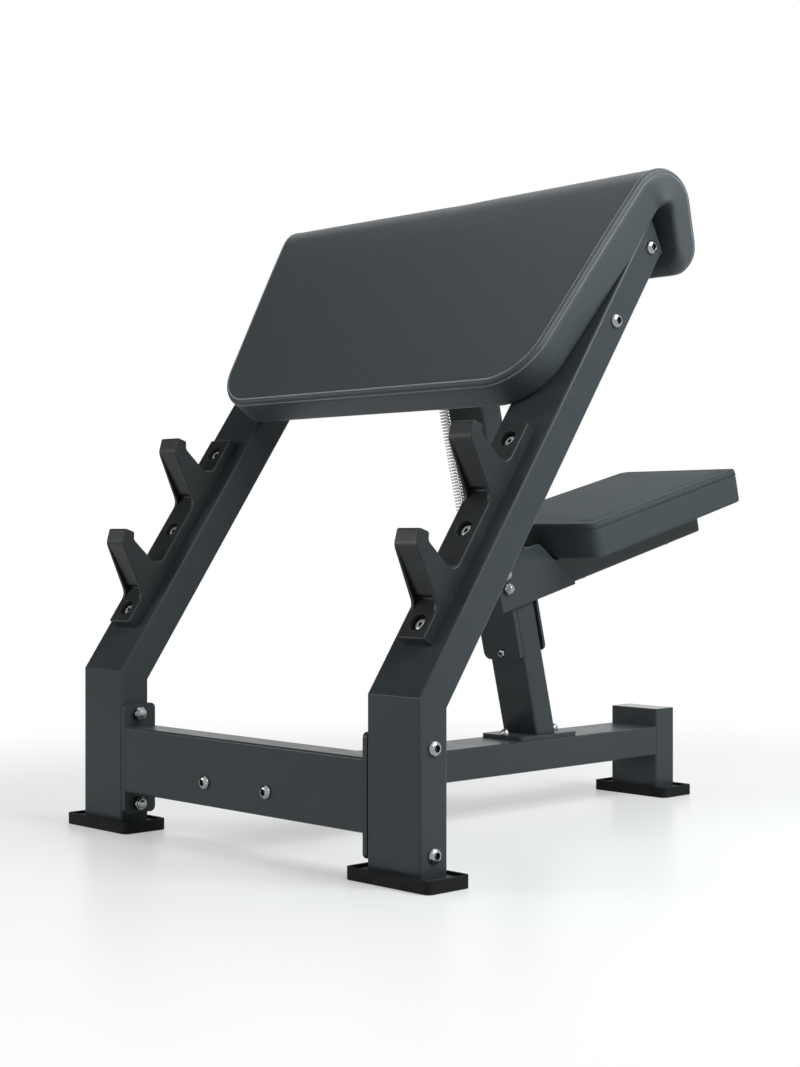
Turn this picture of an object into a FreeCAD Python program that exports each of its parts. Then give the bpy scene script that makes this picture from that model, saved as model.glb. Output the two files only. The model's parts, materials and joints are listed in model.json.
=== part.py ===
"""Preacher curl bench: two bent legs, a base rail, a leaning post with a sliding seat, and a rolled arm pad.

Millimetres. X runs across the bench, Y from the lifter's hands to the seat, Z up from the floor.
The origin is on the floor, under the middle of the bench.
"""

import FreeCAD
import Part
import Sketcher
import math
import os
import re

# Driving dimensions, in millimetres and degrees

SIZES = {
    # Steel tube of the legs, cross tubes, rail and rear leg
    "frame_width": 750.0,
    "tube_wide": 100.0,
    "tube_deep": 50.0,
    "tube_wall": 3.0,
    "tube_corner": 4.0,
    # Bent front legs
    "bend_height": 245.0,
    "leg_angle": 55.0,
    "leg_length": 810.0,
    "leg_end_cut": 25.0,
    "leg_cap_thick": 5.0,
    # Steel foot plates in rubber boots
    "boot_floor": 5.0,
    "boot_height": 17.0,
    "boot_wall": 5.0,
    "boot_corner": 10.0,
    "boot_side": 29.0,
    "boot_front": 14.0,
    "foot_plate_thick": 8.0,
    # Cross tubes between the legs, with bolted end plates
    "cross_height": 110.5,
    "top_cross_drop": 100.0,
    "end_plate_thick": 8.0,
    "end_plate_long": 167.0,
    "end_plate_deep": 57.0,
    "end_plate_bolt_inset": 14.75,
    "plate_corner": 8.0,
    # Base rail and rear leg
    "rail_height": 95.0,
    "base_length": 942.0,
    "rear_leg_height": 150.0,
    "flange_thick": 8.0,
    "flange_wide": 180.0,
    "flange_tall": 70.0,
    "flange_bolt_inset": 21.0,
    "cap_thick": 5.0,
    # Leaning seat post
    "post_lean": 14.0,
    "post_wide": 75.0,
    "post_deep": 45.0,
    "post_wall": 3.0,
    "post_plate_wide": 90.0,
    "post_plate_long": 138.0,
    "post_plate_thick": 7.0,
    "post_plate_bolt_inset": 10.0,
    "top_flange_wide": 150.0,
    "top_flange_long": 90.0,
    "top_flange_bolt_inset": 19.0,
    # Arm pad, its board and its mounting plate
    "mount_thick": 7.0,
    "mount_wide": 280.0,
    "mount_long": 180.0,
    "mount_screw_side": 30.0,
    "mount_screw_end": 20.0,
    "board_thick": 12.0,
    "board_inset": 24.0,
    "pad_thick": 50.0,
    "pad_bottom_reach": 473.0,
    "pad_bottom_width": 669.0,
    "pad_roll_over": 10.0,
    "pad_roll_width": 787.0,
    "pad_roll_radius": 56.0,
    "pad_roll_turn": 125.0,
    "pad_tail_length": 79.0,
    "pad_tail_thick": 42.0,
    "pad_tip_radius": 17.0,
    "pad_inner_radius": 9.0,
    "pad_corner": 70.0,
    "pad_edge": 9.0,
    "pad_lip": 16.0,
    "pad_crown": 4.0,
    # Bar catches with two hooks each
    "catch_wide": 50.0,
    "catch_base": 18.0,
    "catch_start": 77.0,
    "catch_length": 352.0,
    "catch_edge": 2.5,
    "hook_first": 124.0,
    "hook_pitch": 175.5,
    "hook_long": 72.0,
    "hook_reach": 86.0,
    "hook_rib": 5.0,
    "hook_recess": 4.0,
    "hook_valley": 9.0,
    "catch_bolt_first": 102.5,
    "catch_bolt_pitch": 150.0,
    "catch_bore_radius": 10.0,
    "catch_bore_depth": 11.0,
    # Sliding seat carriage
    "guide_gap": 2.5,
    "guide_wide": 80.0,
    "guide_low": 128.0,
    "guide_high": 302.0,
    "guide_corner": 12.0,
    "front_guide_thick": 8.0,
    "rear_guide_thick": 5.0,
    "ear_thick": 6.0,
    "ear_reach": 34.0,
    "ear_low": 232.0,
    "gusset_thick": 6.0,
    "gusset_front": 38.0,
    "gusset_back": 142.0,
    "gusset_top_back": 72.0,
    "gusset_low": 216.0,
    "gusset_lip": 4.0,
    "gusset_corner": 7.0,
    "liner_wide": 60.0,
    "liner_long": 46.0,
    "liner_edge": 4.0,
    "liner_bolt_low": 140.0,
    "liner_bolt_high": 284.0,
    "cross_bolt_out": 21.0,
    "cross_bolt_low": 252.0,
    "cross_bolt_pitch": 24.0,
    # Seat
    "seat_rise": 217.5,
    "seat_tube_wide": 80.0,
    "seat_tube_tall": 50.0,
    "seat_front": 109.0,
    "seat_long": 400.0,
    "seat_overhang": 11.0,
    "seat_front_width": 272.0,
    "seat_rear_width": 256.0,
    "seat_thick": 59.0,
    "seat_corner": 14.0,
    "seat_edge": 8.0,
    "seat_lip": 12.0,
    "seat_crown": 5.0,
    "seat_board_inset": 20.0,
    "seat_bolt_side": 18.0,
    "seat_bolt_front": 81.0,
    "seat_bolt_rear": 89.0,
    # Lift spring and its upper pin
    "spring_side": 25.0,
    "spring_radius": 6.5,
    "spring_wire": 1.8,
    "spring_turns": 20.0,
    "spring_leg": 12.0,
    "spring_bend": 3.0,
    "spring_pin_drop": 71.5,
    "spring_lug_thick": 6.0,
    "spring_lug_long": 30.0,
    "spring_lug_margin": 10.0,
    "spring_lug_gap": 8.0,
    "spring_pin_end": 10.0,
    # Fasteners: the large ones are M12, the small ones M10, the screws M8
    "large_radius": 6.0,
    "large_head_radius": 10.5,
    "large_head_height": 6.5,
    "large_nut_flats": 19.0,
    "large_nut_height": 12.0,
    "small_radius": 5.0,
    "small_head_radius": 8.0,
    "small_head_height": 9.0,
    "small_nut_flats": 17.0,
    "small_nut_height": 10.0,
    "screw_radius": 4.0,
    "screw_head_radius": 7.0,
    "screw_head_height": 4.5,
    "bolt_tail": 3.0,
    "hole_clearance": 1.0,
    # Fits and cuts
    "fit_gap": 0.3,
    "overrun": 20.0,
}

# Places that follow from the sizes

PLACES = {
    "post_rise": "rail_height + tube_deep / 2 + post_plate_thick",
    "rail_top": "rail_height + tube_deep / 2",
    "leg_foot": "boot_floor + foot_plate_thick",
    "leg_middle": "frame_width / 2 - tube_wide / 2",
    "leg_inner": "frame_width / 2 - tube_wide",
    "cross_span": "frame_width - 2 * tube_wide - 2 * end_plate_thick",
    "mitre": "tan(45 - leg_angle / 2)",
    "top_cross_reach": "leg_length - top_cross_drop",
    "pad_roll_reach": "leg_length + pad_roll_over",
    "end_plate_bolt_span": "end_plate_long - 2 * end_plate_bolt_inset",
    "flange_bolt_span": "flange_wide - 2 * flange_bolt_inset",
    "post_plate_bolt_span": "post_plate_long - 2 * post_plate_bolt_inset",
    "top_flange_bolt_span": "top_flange_wide - 2 * top_flange_bolt_inset",
    "mount_screw_wide": "mount_wide - 2 * mount_screw_side",
    "mount_screw_long": "mount_long - 2 * mount_screw_end",
    "landing_back": "top_cross_reach * cos(leg_angle) + (tube_deep + flange_thick) * sin(leg_angle)",
    "landing_high": "bend_height + top_cross_reach * sin(leg_angle) - (tube_deep + flange_thick) * cos(leg_angle)",
    "post_back": "landing_back - post_deep / 2 * cos(post_lean)"
    " + (landing_high - post_rise - post_deep / 2 * sin(post_lean)) * tan(post_lean)",
    "post_top": "(sin(leg_angle) * post_back - cos(leg_angle) * (rail_top + post_plate_thick - bend_height)"
    " - tube_deep - flange_thick) / cos(leg_angle - post_lean)",
    "spring_pin_high": "post_top - spring_pin_drop",
    "post_plate_middle": "post_back + post_deep / (2 * cos(post_lean))",
    "rail_front": "tube_deep + flange_thick",
    "rail_long": "base_length - 2 * tube_deep - flange_thick",
    "pad_front_level": "mount_thick + pad_thick",
    "pad_flare": "(pad_roll_width - pad_bottom_width) / 2 / (pad_roll_reach - pad_bottom_reach)",
    "seat_level": "seat_rise + seat_tube_tall",
    "seat_end": "seat_front + seat_long",
    "seat_tube_end": "seat_end - seat_overhang",
    "seat_bolt_wide": "seat_tube_wide - 2 * seat_bolt_side",
    "seat_tube_start": "post_deep + guide_gap + rear_guide_thick",
    "front_guide_front": "guide_gap + front_guide_thick",
    "origin_back": "(post_back + max(seat_tube_end * cos(post_lean) - seat_rise * sin(post_lean);"
    " seat_end * cos(post_lean) - seat_level * sin(post_lean)) - boot_front) / 2",
}

# Outline of one hook, as shares of hook_long along the leg and of hook_reach away from the catch's base

HOOK_SHARES = [
    (0.00, 0.00),
    (0.21, 0.26),
    (0.625, 0.90),
    (0.93, 1.00),
    (1.00, 0.795),
    (0.855, 0.725),
    (0.775, 0.30),
    (0.80, 0.06),
    (0.90, 0.00),
]

# Stations across a cushion, as shares of its edge radius and of its corner radius, and the crown left at its sides

EDGE_SHARES = (0.0, 0.29, 1.0)
CORNER_SHARES = (0.45, 1.0)
EDGE_CROWN_SHARE = 0.25

# Flats on the shanks and the hidden holes of the bolts, and on their heads

SHANK_SIDES = 8
HEAD_SIDES = 12

doc = FreeCAD.newDocument("PreacherCurlBench")


# Sheets and formulas


def make_sheet(name, cells):
    sheet = doc.addObject("Spreadsheet::Sheet", name)
    for row, (alias, content) in enumerate(cells.items(), start=1):
        sheet.set(f"A{row}", alias)
        sheet.set(f"B{row}", content)
        sheet.setAlias(f"B{row}", alias)
    doc.recompute()
    return sheet


def formula(text, home=""):
    """Expression text with every size and place pointed at its sheet, unless that sheet is the text's home."""

    def point_at_sheet(match):
        word = match.group()
        if word in SIZES:
            return "Sizes." + word
        if word in PLACES and home != "Places":
            return "Places." + word
        return word

    return re.sub(r"[a-z_]+", point_at_sheet, text)


sizes = make_sheet("Sizes", {alias: str(value) for alias, value in SIZES.items()})
places = make_sheet("Places", {alias: "=" + formula(text, "Places") for alias, text in PLACES.items()})


def number(text):
    return float(sizes.evalExpression(formula(text)))


# Frames: the bench itself, the slope of the legs, and the leaning post

FRAMES = {
    "bench": ("-origin_back", "0", "0"),
    "slope": ("-origin_back", "bend_height", "leg_angle"),
    "post": ("post_back - origin_back", "post_rise", "post_lean"),
}


def place(item, frame, x="0", y="0", z="0"):
    """Put an object in a frame; y and z shift it only in the upright bench frame."""
    base_y, base_z, tilt = FRAMES[frame]
    item.Placement = FreeCAD.Placement(FreeCAD.Vector(), FreeCAD.Rotation(FreeCAD.Vector(1, 0, 0), 1))
    item.setExpression("Placement.Base.x", formula(x))
    item.setExpression("Placement.Base.y", formula(f"{base_y} + {y}"))
    item.setExpression("Placement.Base.z", formula(f"{base_z} + {z}"))
    item.setExpression("Placement.Rotation.Angle", formula(tilt))


def frame_placement(frame):
    base_y, base_z, tilt = FRAMES[frame]
    base = FreeCAD.Vector(0, number(base_y), number(base_z))
    return FreeCAD.Placement(base, FreeCAD.Rotation(FreeCAD.Vector(1, 0, 0), number(tilt)))


# Feature helpers

NODES = []


def make_body(label):
    body = doc.addObject("PartDesign::Body", label)
    body.Label = label
    NODES.append(body)
    return body


def ring(x, y, radius):
    """Corners of a bolt hole with flats."""
    angles = [(step + 0.5) * 360 / SHANK_SIDES for step in range(SHANK_SIDES)]
    return [(f"{x} + ({radius}) * cos({angle})", f"{y} + ({radius}) * sin({angle})") for angle in angles]


def make_sketch(body, name, plane, loops=(), holes=(), circles=(), lift="0", tilt="0"):
    """Sketch of closed loops of corners, bolt holes and circles, every coordinate bound to the sheets."""
    sketch = body.newObject("Sketcher::SketchObject", body.Name + "_" + name)
    support = [item for item in body.Origin.OriginFeatures if item.Role == plane][0]
    sketch.AttachmentSupport = (support, [""])
    sketch.MapMode = "FlatFace"
    sketch.AttachmentOffset = FreeCAD.Placement(FreeCAD.Vector(), FreeCAD.Rotation(FreeCAD.Vector(1, 0, 0), 1))
    sketch.setExpression("AttachmentOffset.Base.z", formula(lift))
    sketch.setExpression("AttachmentOffset.Rotation.Angle", formula(tilt))
    for corners in list(loops) + [ring(*hole) for hole in holes]:
        draw_loop(sketch, corners)
    for x, y, radius in circles:
        draw_circle(sketch, x, y, radius)
    return sketch


def bind(sketch, constraint, text):
    index = sketch.addConstraint(constraint)
    sketch.setExpression(f"Constraints[{index}]", formula(text))


def draw_loop(sketch, corners):
    first = sketch.GeometryCount
    points = [FreeCAD.Vector(number(x), number(y), 0) for x, y in corners]
    count = len(points)
    for index, point in enumerate(points):
        sketch.addGeometry(Part.LineSegment(point, points[(index + 1) % count]), False)
    for index in range(count):
        following = first + (index + 1) % count
        sketch.addConstraint(Sketcher.Constraint("Coincident", first + index, 2, following, 1))
    for index, (x, y) in enumerate(corners):
        line = first + index
        bind(sketch, Sketcher.Constraint("DistanceX", -1, 1, line, 1, points[index].x), x)
        bind(sketch, Sketcher.Constraint("DistanceY", -1, 1, line, 1, points[index].y), y)


def draw_circle(sketch, x, y, radius):
    circle = sketch.GeometryCount
    centre = FreeCAD.Vector(number(x), number(y), 0)
    sketch.addGeometry(Part.Circle(centre, FreeCAD.Vector(0, 0, 1), number(radius)), False)
    bind(sketch, Sketcher.Constraint("Radius", circle, number(radius)), radius)
    bind(sketch, Sketcher.Constraint("DistanceX", -1, 1, circle, 3, centre.x), x)
    bind(sketch, Sketcher.Constraint("DistanceY", -1, 1, circle, 3, centre.y), y)


def make_feature(body, kind, sketch, length, side, reverse):
    feature = body.newObject("PartDesign::" + kind, sketch.Name + "_" + kind.lower())
    feature.Profile = sketch
    feature.SideType = side
    feature.Reversed = reverse
    feature.setExpression("Length", formula(length))
    doc.recompute()
    return feature


def pad(body, sketch, length, side="Symmetric", reverse=False):
    return make_feature(body, "Pad", sketch, length, side, reverse)


def pocket(body, sketch, length, side="Symmetric", reverse=False):
    before = body.Shape.Volume
    feature = make_feature(body, "Pocket", sketch, length, side, reverse)
    if body.Shape.Volume >= before:
        raise RuntimeError(f"{feature.Name} cut nothing")
    return feature


def round_edges(body, radius, chosen):
    """Fillet the edges of the body's last feature that the test picks."""
    base = body.Tip
    names = [f"Edge{index}" for index, edge in enumerate(base.Shape.Edges, start=1) if chosen(edge)]
    if not names:
        raise RuntimeError(f"{body.Label} has no edges to round")
    fillet = body.newObject("PartDesign::Fillet", body.Name + "_rounding_" + str(len(body.Group)))
    fillet.Base = (base, names)
    fillet.setExpression("Radius", formula(radius))
    doc.recompute()


def runs_along(edge, axis):
    """Whether a straight edge is parallel to one axis of its body."""
    if edge.Curve.TypeId != "Part::GeomLine":
        return False
    return abs(abs(edge.Curve.Direction.dot(FreeCAD.Vector(*axis))) - 1) < 1e-6


X_AXIS = (1, 0, 0)
Y_AXIS = (0, 1, 0)
Z_AXIS = (0, 0, 1)


def rectangle(low_x, high_x, low_y, high_y):
    return [(low_x, low_y), (high_x, low_y), (high_x, high_y), (low_x, high_y)]


def centred(width, height, x="0", y="0"):
    left, right = f"{x} - ({width}) / 2", f"{x} + ({width}) / 2"
    return rectangle(left, right, f"{y} - ({height}) / 2", f"{y} + ({height}) / 2")


def make_tube(label, plane, wide, tall, wall, length, along, x="0", y="0", lift="0"):
    """Straight rectangular tube, drawn as two loops and rounded along its four long edges."""
    body = make_body(label)
    loops = [centred(wide, tall, x, y), centred(f"{wide} - 2 * {wall}", f"{tall} - 2 * {wall}", x, y)]
    sketch = make_sketch(body, "section", plane, loops, lift=lift)
    pad(body, sketch, length)
    half_wide, half_tall = number(f"{wide} / 2"), number(f"{tall} / 2")
    middle = body.Shape.BoundBox.Center
    outer = math.hypot(half_wide, half_tall) - number(wall)

    def is_outer(edge):
        reach = edge.CenterOfMass - middle
        return runs_along(edge, along) and reach.Length > outer

    round_edges(body, "tube_corner", is_outer)
    return body


def make_plate(label, plane, corners, holes, thick, corner, along, side="Symmetric", lift="0"):
    """Flat plate with rounded corners and bolt holes."""
    body = make_body(label)
    pad(body, make_sketch(body, "outline", plane, [corners], lift=lift), thick, side)
    round_edges(body, corner, lambda edge: runs_along(edge, along))
    if holes:
        drill = make_sketch(body, "holes", plane, (), holes, lift=lift)
        pocket(body, drill, f"2 * {thick} + overrun")
    return body


def make_box(label, length, width, height, frame, x, y, z):
    box = doc.addObject("Part::Box", label)
    box.Label = label
    box.setExpression("Length", formula(length))
    box.setExpression("Width", formula(width))
    box.setExpression("Height", formula(height))
    NODES.append(box)
    base_y, base_z, tilt = FRAMES[frame]
    turn = f"({tilt})"
    box.Placement = FreeCAD.Placement(FreeCAD.Vector(), FreeCAD.Rotation(FreeCAD.Vector(1, 0, 0), 1))
    box.setExpression("Placement.Base.x", formula(x))
    box.setExpression("Placement.Base.y", formula(f"{base_y} + ({y}) * cos{turn} - ({z}) * sin{turn}"))
    box.setExpression("Placement.Base.z", formula(f"{base_z} + ({y}) * sin{turn} + ({z}) * cos{turn}"))
    box.setExpression("Placement.Rotation.Angle", formula(tilt))
    return box


def make_solid(label, shape, frame):
    """Sub-part whose shape is worked out from the sheets' numbers in one of the frames."""
    item = doc.addObject("Part::Feature", label)
    item.Label = label
    item.Shape = shape
    item.Placement = frame_placement(frame)
    NODES.append(item)
    return item


SIDES = {"left": -1, "right": 1}

# Legs


def leg_point(depth, reach):
    """Point on the slope, reach up from the bend and depth behind the front face, in the bench frame."""
    y = f"({reach}) * cos(leg_angle) + ({depth}) * sin(leg_angle)"
    z = f"bend_height + ({reach}) * sin(leg_angle) - ({depth}) * cos(leg_angle)"
    return y, z


def leg_cut(depth, beyond="0"):
    """Point on the slanted end of the leg, or beyond it along the leg."""
    return leg_point(depth, f"leg_length - leg_end_cut * ({depth}) / tube_deep + ({beyond})")


def leg_outline(front, rear, below, beyond):
    corners = [(front, f"leg_foot - {below}"), (front, f"bend_height - ({front}) * mitre")]
    corners += [leg_cut(front, beyond), leg_cut(rear, beyond)]
    corners += [(rear, f"bend_height - ({rear}) * mitre"), (rear, f"leg_foot - {below}")]
    return corners


def frame_bolt_places():
    """Bolts through one leg as distances in the bench frame: two low ones and two behind the arm pad."""
    middle = "tube_deep / 2"
    low = [(middle, f"cross_height {sign} end_plate_bolt_span / 2") for sign in "-+"]
    high = [leg_point(middle, f"top_cross_reach {sign} end_plate_bolt_span / 2") for sign in "-+"]
    return low + high


CATCH_BOLTS = [f"catch_bolt_first + {index} * catch_bolt_pitch" for index in range(3)]


def make_leg(label, side):
    body = make_body(label)
    outline = make_sketch(body, "side", "YZ_Plane", [leg_outline("0", "tube_deep", "0", "0")])
    pad(body, outline, "tube_wide")
    end_length = (body.Shape.BoundBox.XLength + number("tube_wide")) / 2

    def is_long(edge):
        return abs(edge.tangentAt(edge.FirstParameter).x) < 1e-6 and edge.Length > end_length

    round_edges(body, "tube_corner", is_long)
    inside = leg_outline("tube_wall", "tube_deep - tube_wall", "overrun", "overrun")
    pocket(body, make_sketch(body, "inside", "YZ_Plane", [inside]), "tube_wide - 2 * tube_wall")
    holes = [(y, z, "large_radius + hole_clearance") for y, z in frame_bolt_places()]
    pocket(body, make_sketch(body, "bolt_holes", "YZ_Plane", (), holes), "tube_wide + overrun")
    holes = [("0", reach, "small_radius + hole_clearance") for reach in CATCH_BOLTS]
    face = make_sketch(body, "catch_holes", "XY_Plane", (), holes, lift="bend_height", tilt="leg_angle")
    pocket(body, face, "2 * tube_wall", "One side")
    place(body, "bench", f"{side} * leg_middle")


def make_leg_cap(label, side):
    body = make_body(label)
    corners = [leg_cut("0"), leg_cut("0", "leg_cap_thick"), leg_cut("tube_deep", "leg_cap_thick"), leg_cut("tube_deep")]
    pad(body, make_sketch(body, "side", "YZ_Plane", [corners]), "tube_wide")
    top = body.Shape.BoundBox.ZMax
    rear = body.Shape.BoundBox.YMax

    def is_rear_top(edge):
        point = edge.CenterOfMass
        return runs_along(edge, X_AXIS) and abs(point.y - rear) < 1e-6 and point.z < top

    round_edges(body, "tube_corner", is_rear_top)
    place(body, "bench", f"{side} * leg_middle")


# Feet


def make_foot(name, x, y):
    """Rubber boot round a steel foot plate, centred under a leg."""
    body = make_body(name + "_boot")
    outer = centred("tube_wide + 2 * boot_side", "tube_deep + 2 * boot_front")
    pad(body, make_sketch(body, "outline", "XY_Plane", [outer]), "boot_height", "One side")
    round_edges(body, "boot_corner", lambda edge: runs_along(edge, Z_AXIS))
    inner = centred("tube_wide + 2 * boot_side - 2 * boot_wall", "tube_deep + 2 * boot_front - 2 * boot_wall")
    well = make_sketch(body, "well", "XY_Plane", [inner], lift="boot_floor")
    pocket(body, well, "boot_height", "One side", True)
    place(body, "bench", x, y)
    plate_wide = "(tube_wide + 2 * boot_side - 2 * boot_wall - 2 * fit_gap)"
    plate_deep = "(tube_deep + 2 * boot_front - 2 * boot_wall - 2 * fit_gap)"
    corner_x, corner_y = f"{x} - {plate_wide} / 2", f"{y} - {plate_deep} / 2"
    make_box(name + "_plate", plate_wide, plate_deep, "foot_plate_thick", "bench", corner_x, corner_y, "boot_floor")


# Cross tubes and their end plates

LARGE_HOLE = "large_radius + hole_clearance"
SMALL_HOLE = "small_radius + hole_clearance"
SCREW_HOLE = "screw_radius + hole_clearance"


def pair(span):
    return [f"-{span} / 2", f"{span} / 2"]


def make_front_cross_tube():
    body = make_tube("front_cross_tube", "YZ_Plane", "tube_deep", "tube_wide", "tube_wall", "cross_span", X_AXIS,
                     "tube_deep / 2", "cross_height")
    holes = [(x, "rail_height", LARGE_HOLE) for x in pair("flange_bolt_span")]
    pocket(body, make_sketch(body, "rail_holes", "XZ_Plane", (), holes), "2 * tube_deep + overrun")
    place(body, "bench")


def make_top_cross_tube():
    body = make_tube("top_cross_tube", "YZ_Plane", "tube_wide", "tube_deep", "tube_wall", "cross_span", X_AXIS,
                     "top_cross_reach", "-tube_deep / 2")
    holes = [(x, "top_cross_reach", SMALL_HOLE) for x in pair("top_flange_bolt_span")]
    rear = make_sketch(body, "flange_holes", "XY_Plane", (), holes, lift="-tube_deep")
    pocket(body, rear, "2 * tube_wall", "One side", True)
    place(body, "slope")


def make_end_plate(label, side, frame, along, across):
    """Plate on a leg's inner face: along is its middle on the leg, across its span from the front face back."""
    low, high = f"{along} - end_plate_long / 2", f"{along} + end_plate_long / 2"
    holes = [f"{along} {sign} end_plate_bolt_span / 2" for sign in "-+"]
    if frame == "bench":
        corners = rectangle("0", across, low, high)
        circles = [("tube_deep / 2", hole, LARGE_HOLE) for hole in holes]
    else:
        corners = rectangle(low, high, f"-{across}", "0")
        circles = [(hole, "-tube_deep / 2", LARGE_HOLE) for hole in holes]
    body = make_plate(label, "YZ_Plane", corners, circles, "end_plate_thick", "plate_corner", X_AXIS)
    place(body, frame, f"{side} * (leg_inner - end_plate_thick / 2)")


# Base rail, rear leg and post


def make_base_rail():
    body = make_tube("base_rail", "XZ_Plane", "tube_wide", "tube_deep", "tube_wall", "rail_long", Y_AXIS,
                     "0", "rail_height")
    middle = "(rail_front + rail_long / 2)"
    holes = [("0", f"post_plate_middle - {middle} + ({y})", SMALL_HOLE) for y in pair("post_plate_bolt_span")]
    top = make_sketch(body, "post_holes", "XY_Plane", (), holes, lift="rail_top")
    pocket(body, top, "2 * tube_wall", "One side")
    place(body, "bench", y=middle)


def make_rail_flange():
    corners = centred("flange_wide", "flange_tall", "0", "rail_height")
    holes = [(x, "rail_height", LARGE_HOLE) for x in pair("flange_bolt_span")]
    body = make_plate("rail_flange", "XZ_Plane", corners, holes, "flange_thick", "plate_corner", Y_AXIS)
    place(body, "bench", y="tube_deep + flange_thick / 2")


def make_rear_leg():
    middle = "base_length - tube_deep / 2"
    tall = "rear_leg_height - leg_foot"
    body = make_tube("rear_leg", "XY_Plane", "tube_wide", "tube_deep", "tube_wall", tall, Z_AXIS)
    place(body, "bench", y=middle, z=f"leg_foot + ({tall}) / 2")
    wide = "(tube_wide - 2 * tube_wall - 2 * fit_gap)"
    deep = "(tube_deep - 2 * tube_wall - 2 * fit_gap)"
    make_box("rear_leg_cap", wide, deep, "cap_thick", "bench", f"-{wide} / 2", f"{middle} - {deep} / 2",
             "rear_leg_height - cap_thick")


def make_post_base_plate():
    holes = [("0", y, SMALL_HOLE) for y in pair("post_plate_bolt_span")]
    corners = centred("post_plate_wide", "post_plate_long")
    body = make_plate("post_base_plate", "XY_Plane", corners, holes, "post_plate_thick", "plate_corner", Z_AXIS,
                      "One side")
    place(body, "bench", y="post_plate_middle", z="rail_top")


def make_seat_post():
    body = make_body("seat_post")
    top_slope = "tan(leg_angle - post_lean)"
    corners = [("0", "0"), ("post_deep", "-post_deep * tan(post_lean)")]
    corners += [("post_deep", f"post_top + post_deep * {top_slope}"), ("0", "post_top")]
    pad(body, make_sketch(body, "side", "YZ_Plane", [corners]), "post_wide")
    round_edges(body, "tube_corner", lambda edge: runs_along(edge, Z_AXIS))
    inside = rectangle("post_wall", "post_deep - post_wall", "-post_deep", "post_top + 2 * post_deep")
    pocket(body, make_sketch(body, "inside", "YZ_Plane", [inside]), "post_wide - 2 * post_wall")
    place(body, "post")


def make_post_top_flange():
    corners = centred("top_flange_wide", "top_flange_long", "0", "top_cross_reach")
    holes = [(x, "top_cross_reach", SMALL_HOLE) for x in pair("top_flange_bolt_span")]
    body = make_plate("post_top_flange", "XY_Plane", corners, holes, "flange_thick", "plate_corner", Z_AXIS,
                      "One side", "-tube_deep - flange_thick")
    place(body, "slope")


# Bar catches


def hook_outline(start):
    """Corners of one hook, from the base of the catch out to the tip and back into the valley."""
    return [(f"{start} + {along} * hook_long", f"catch_base + {out} * hook_reach") for along, out in HOOK_SHARES]


def hook_starts():
    return ["hook_first", "hook_first + hook_pitch"]


def make_catch(label, side):
    body = make_body(label)
    corners = [("catch_start", "0"), ("catch_start", "catch_base")]
    for start in hook_starts():
        corners += hook_outline(start)
    corners += [("catch_start + catch_length", "catch_base"), ("catch_start + catch_length", "0")]
    pad(body, make_sketch(body, "side", "YZ_Plane", [corners]), "catch_wide")
    valleys = []
    for start in hook_starts():
        y, z = hook_outline(start)[7]
        valleys.append(FreeCAD.Vector(0, number(y), number(z)))

    def at_valley(edge):
        return runs_along(edge, X_AXIS) and min((edge.CenterOfMass - point).Length for point in valleys) < 1e-6

    round_edges(body, "hook_valley", at_valley)
    for start in hook_starts():
        outline = hook_outline(start)
        front = outline[1:4]
        back = [(y, f"{z} - hook_recess") for y, z in front]
        (foot_y, foot_z), (tip_y, tip_z) = front[0], front[-1]
        front[0] = (f"{foot_y} - hook_recess", foot_z)
        front[-1] = (f"{tip_y} + hook_recess", f"{tip_z} + hook_recess")
        back[-1] = (f"{tip_y} + hook_recess", f"{tip_z} - hook_recess")
        recess = make_sketch(body, f"recess_{len(body.Group)}", "YZ_Plane", [front + back[::-1]])
        pocket(body, recess, "catch_wide - 2 * hook_rib")
    through = [("0", reach, SMALL_HOLE) for reach in CATCH_BOLTS]
    pocket(body, make_sketch(body, "bolt_holes", "XY_Plane", (), through), "catch_base", "One side", True)
    wells = [("0", reach, "catch_bore_radius") for reach in CATCH_BOLTS]
    floor = make_sketch(body, "bores", "XY_Plane", circles=wells, lift="catch_base - catch_bore_depth")
    pocket(body, floor, "catch_bore_depth + catch_edge", "One side", True)
    place(body, "slope", f"{side} * leg_middle")


# Arm pad


def vector(*coordinates):
    return FreeCAD.Vector(*coordinates)


def arc(start, middle, end):
    return Part.Arc(start, middle, end).toShape()


def line(start, end):
    return Part.makeLine(start, end)


def corner_arc(before, corner, after, radius):
    """Rounded corner between two straight runs: its start, middle and end."""
    inward = (before - corner).normalize()
    outward = (after - corner).normalize()
    half = inward.getAngle(outward) / 2
    setback = radius / math.tan(half)
    bisector = (inward + outward).normalize()
    centre = corner + bisector * (radius / math.sin(half))
    return corner + inward * setback, centre - bisector * radius, corner + outward * setback


def pad_half_width(reach):
    return number("pad_bottom_width / 2") + number("pad_flare") * (reach - number("pad_bottom_reach"))


def round_inset(radius, distance):
    """How far a quarter round has drawn back at a distance from the side that it ends in."""
    left = max(radius - distance, 0)
    return radius - math.sqrt(radius * radius - left * left)


def to_wire(pieces):
    return Part.Wire([arc(*piece) if len(piece) == 3 else line(*piece) for piece in pieces])


def bulged(start, end, rise):
    """Shallow arc in a side view that rises over the straight line between two points."""
    along = (end - start).normalize()
    return start, (start + end) / 2 + vector(0, -along.z, along.y) * rise, end


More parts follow.
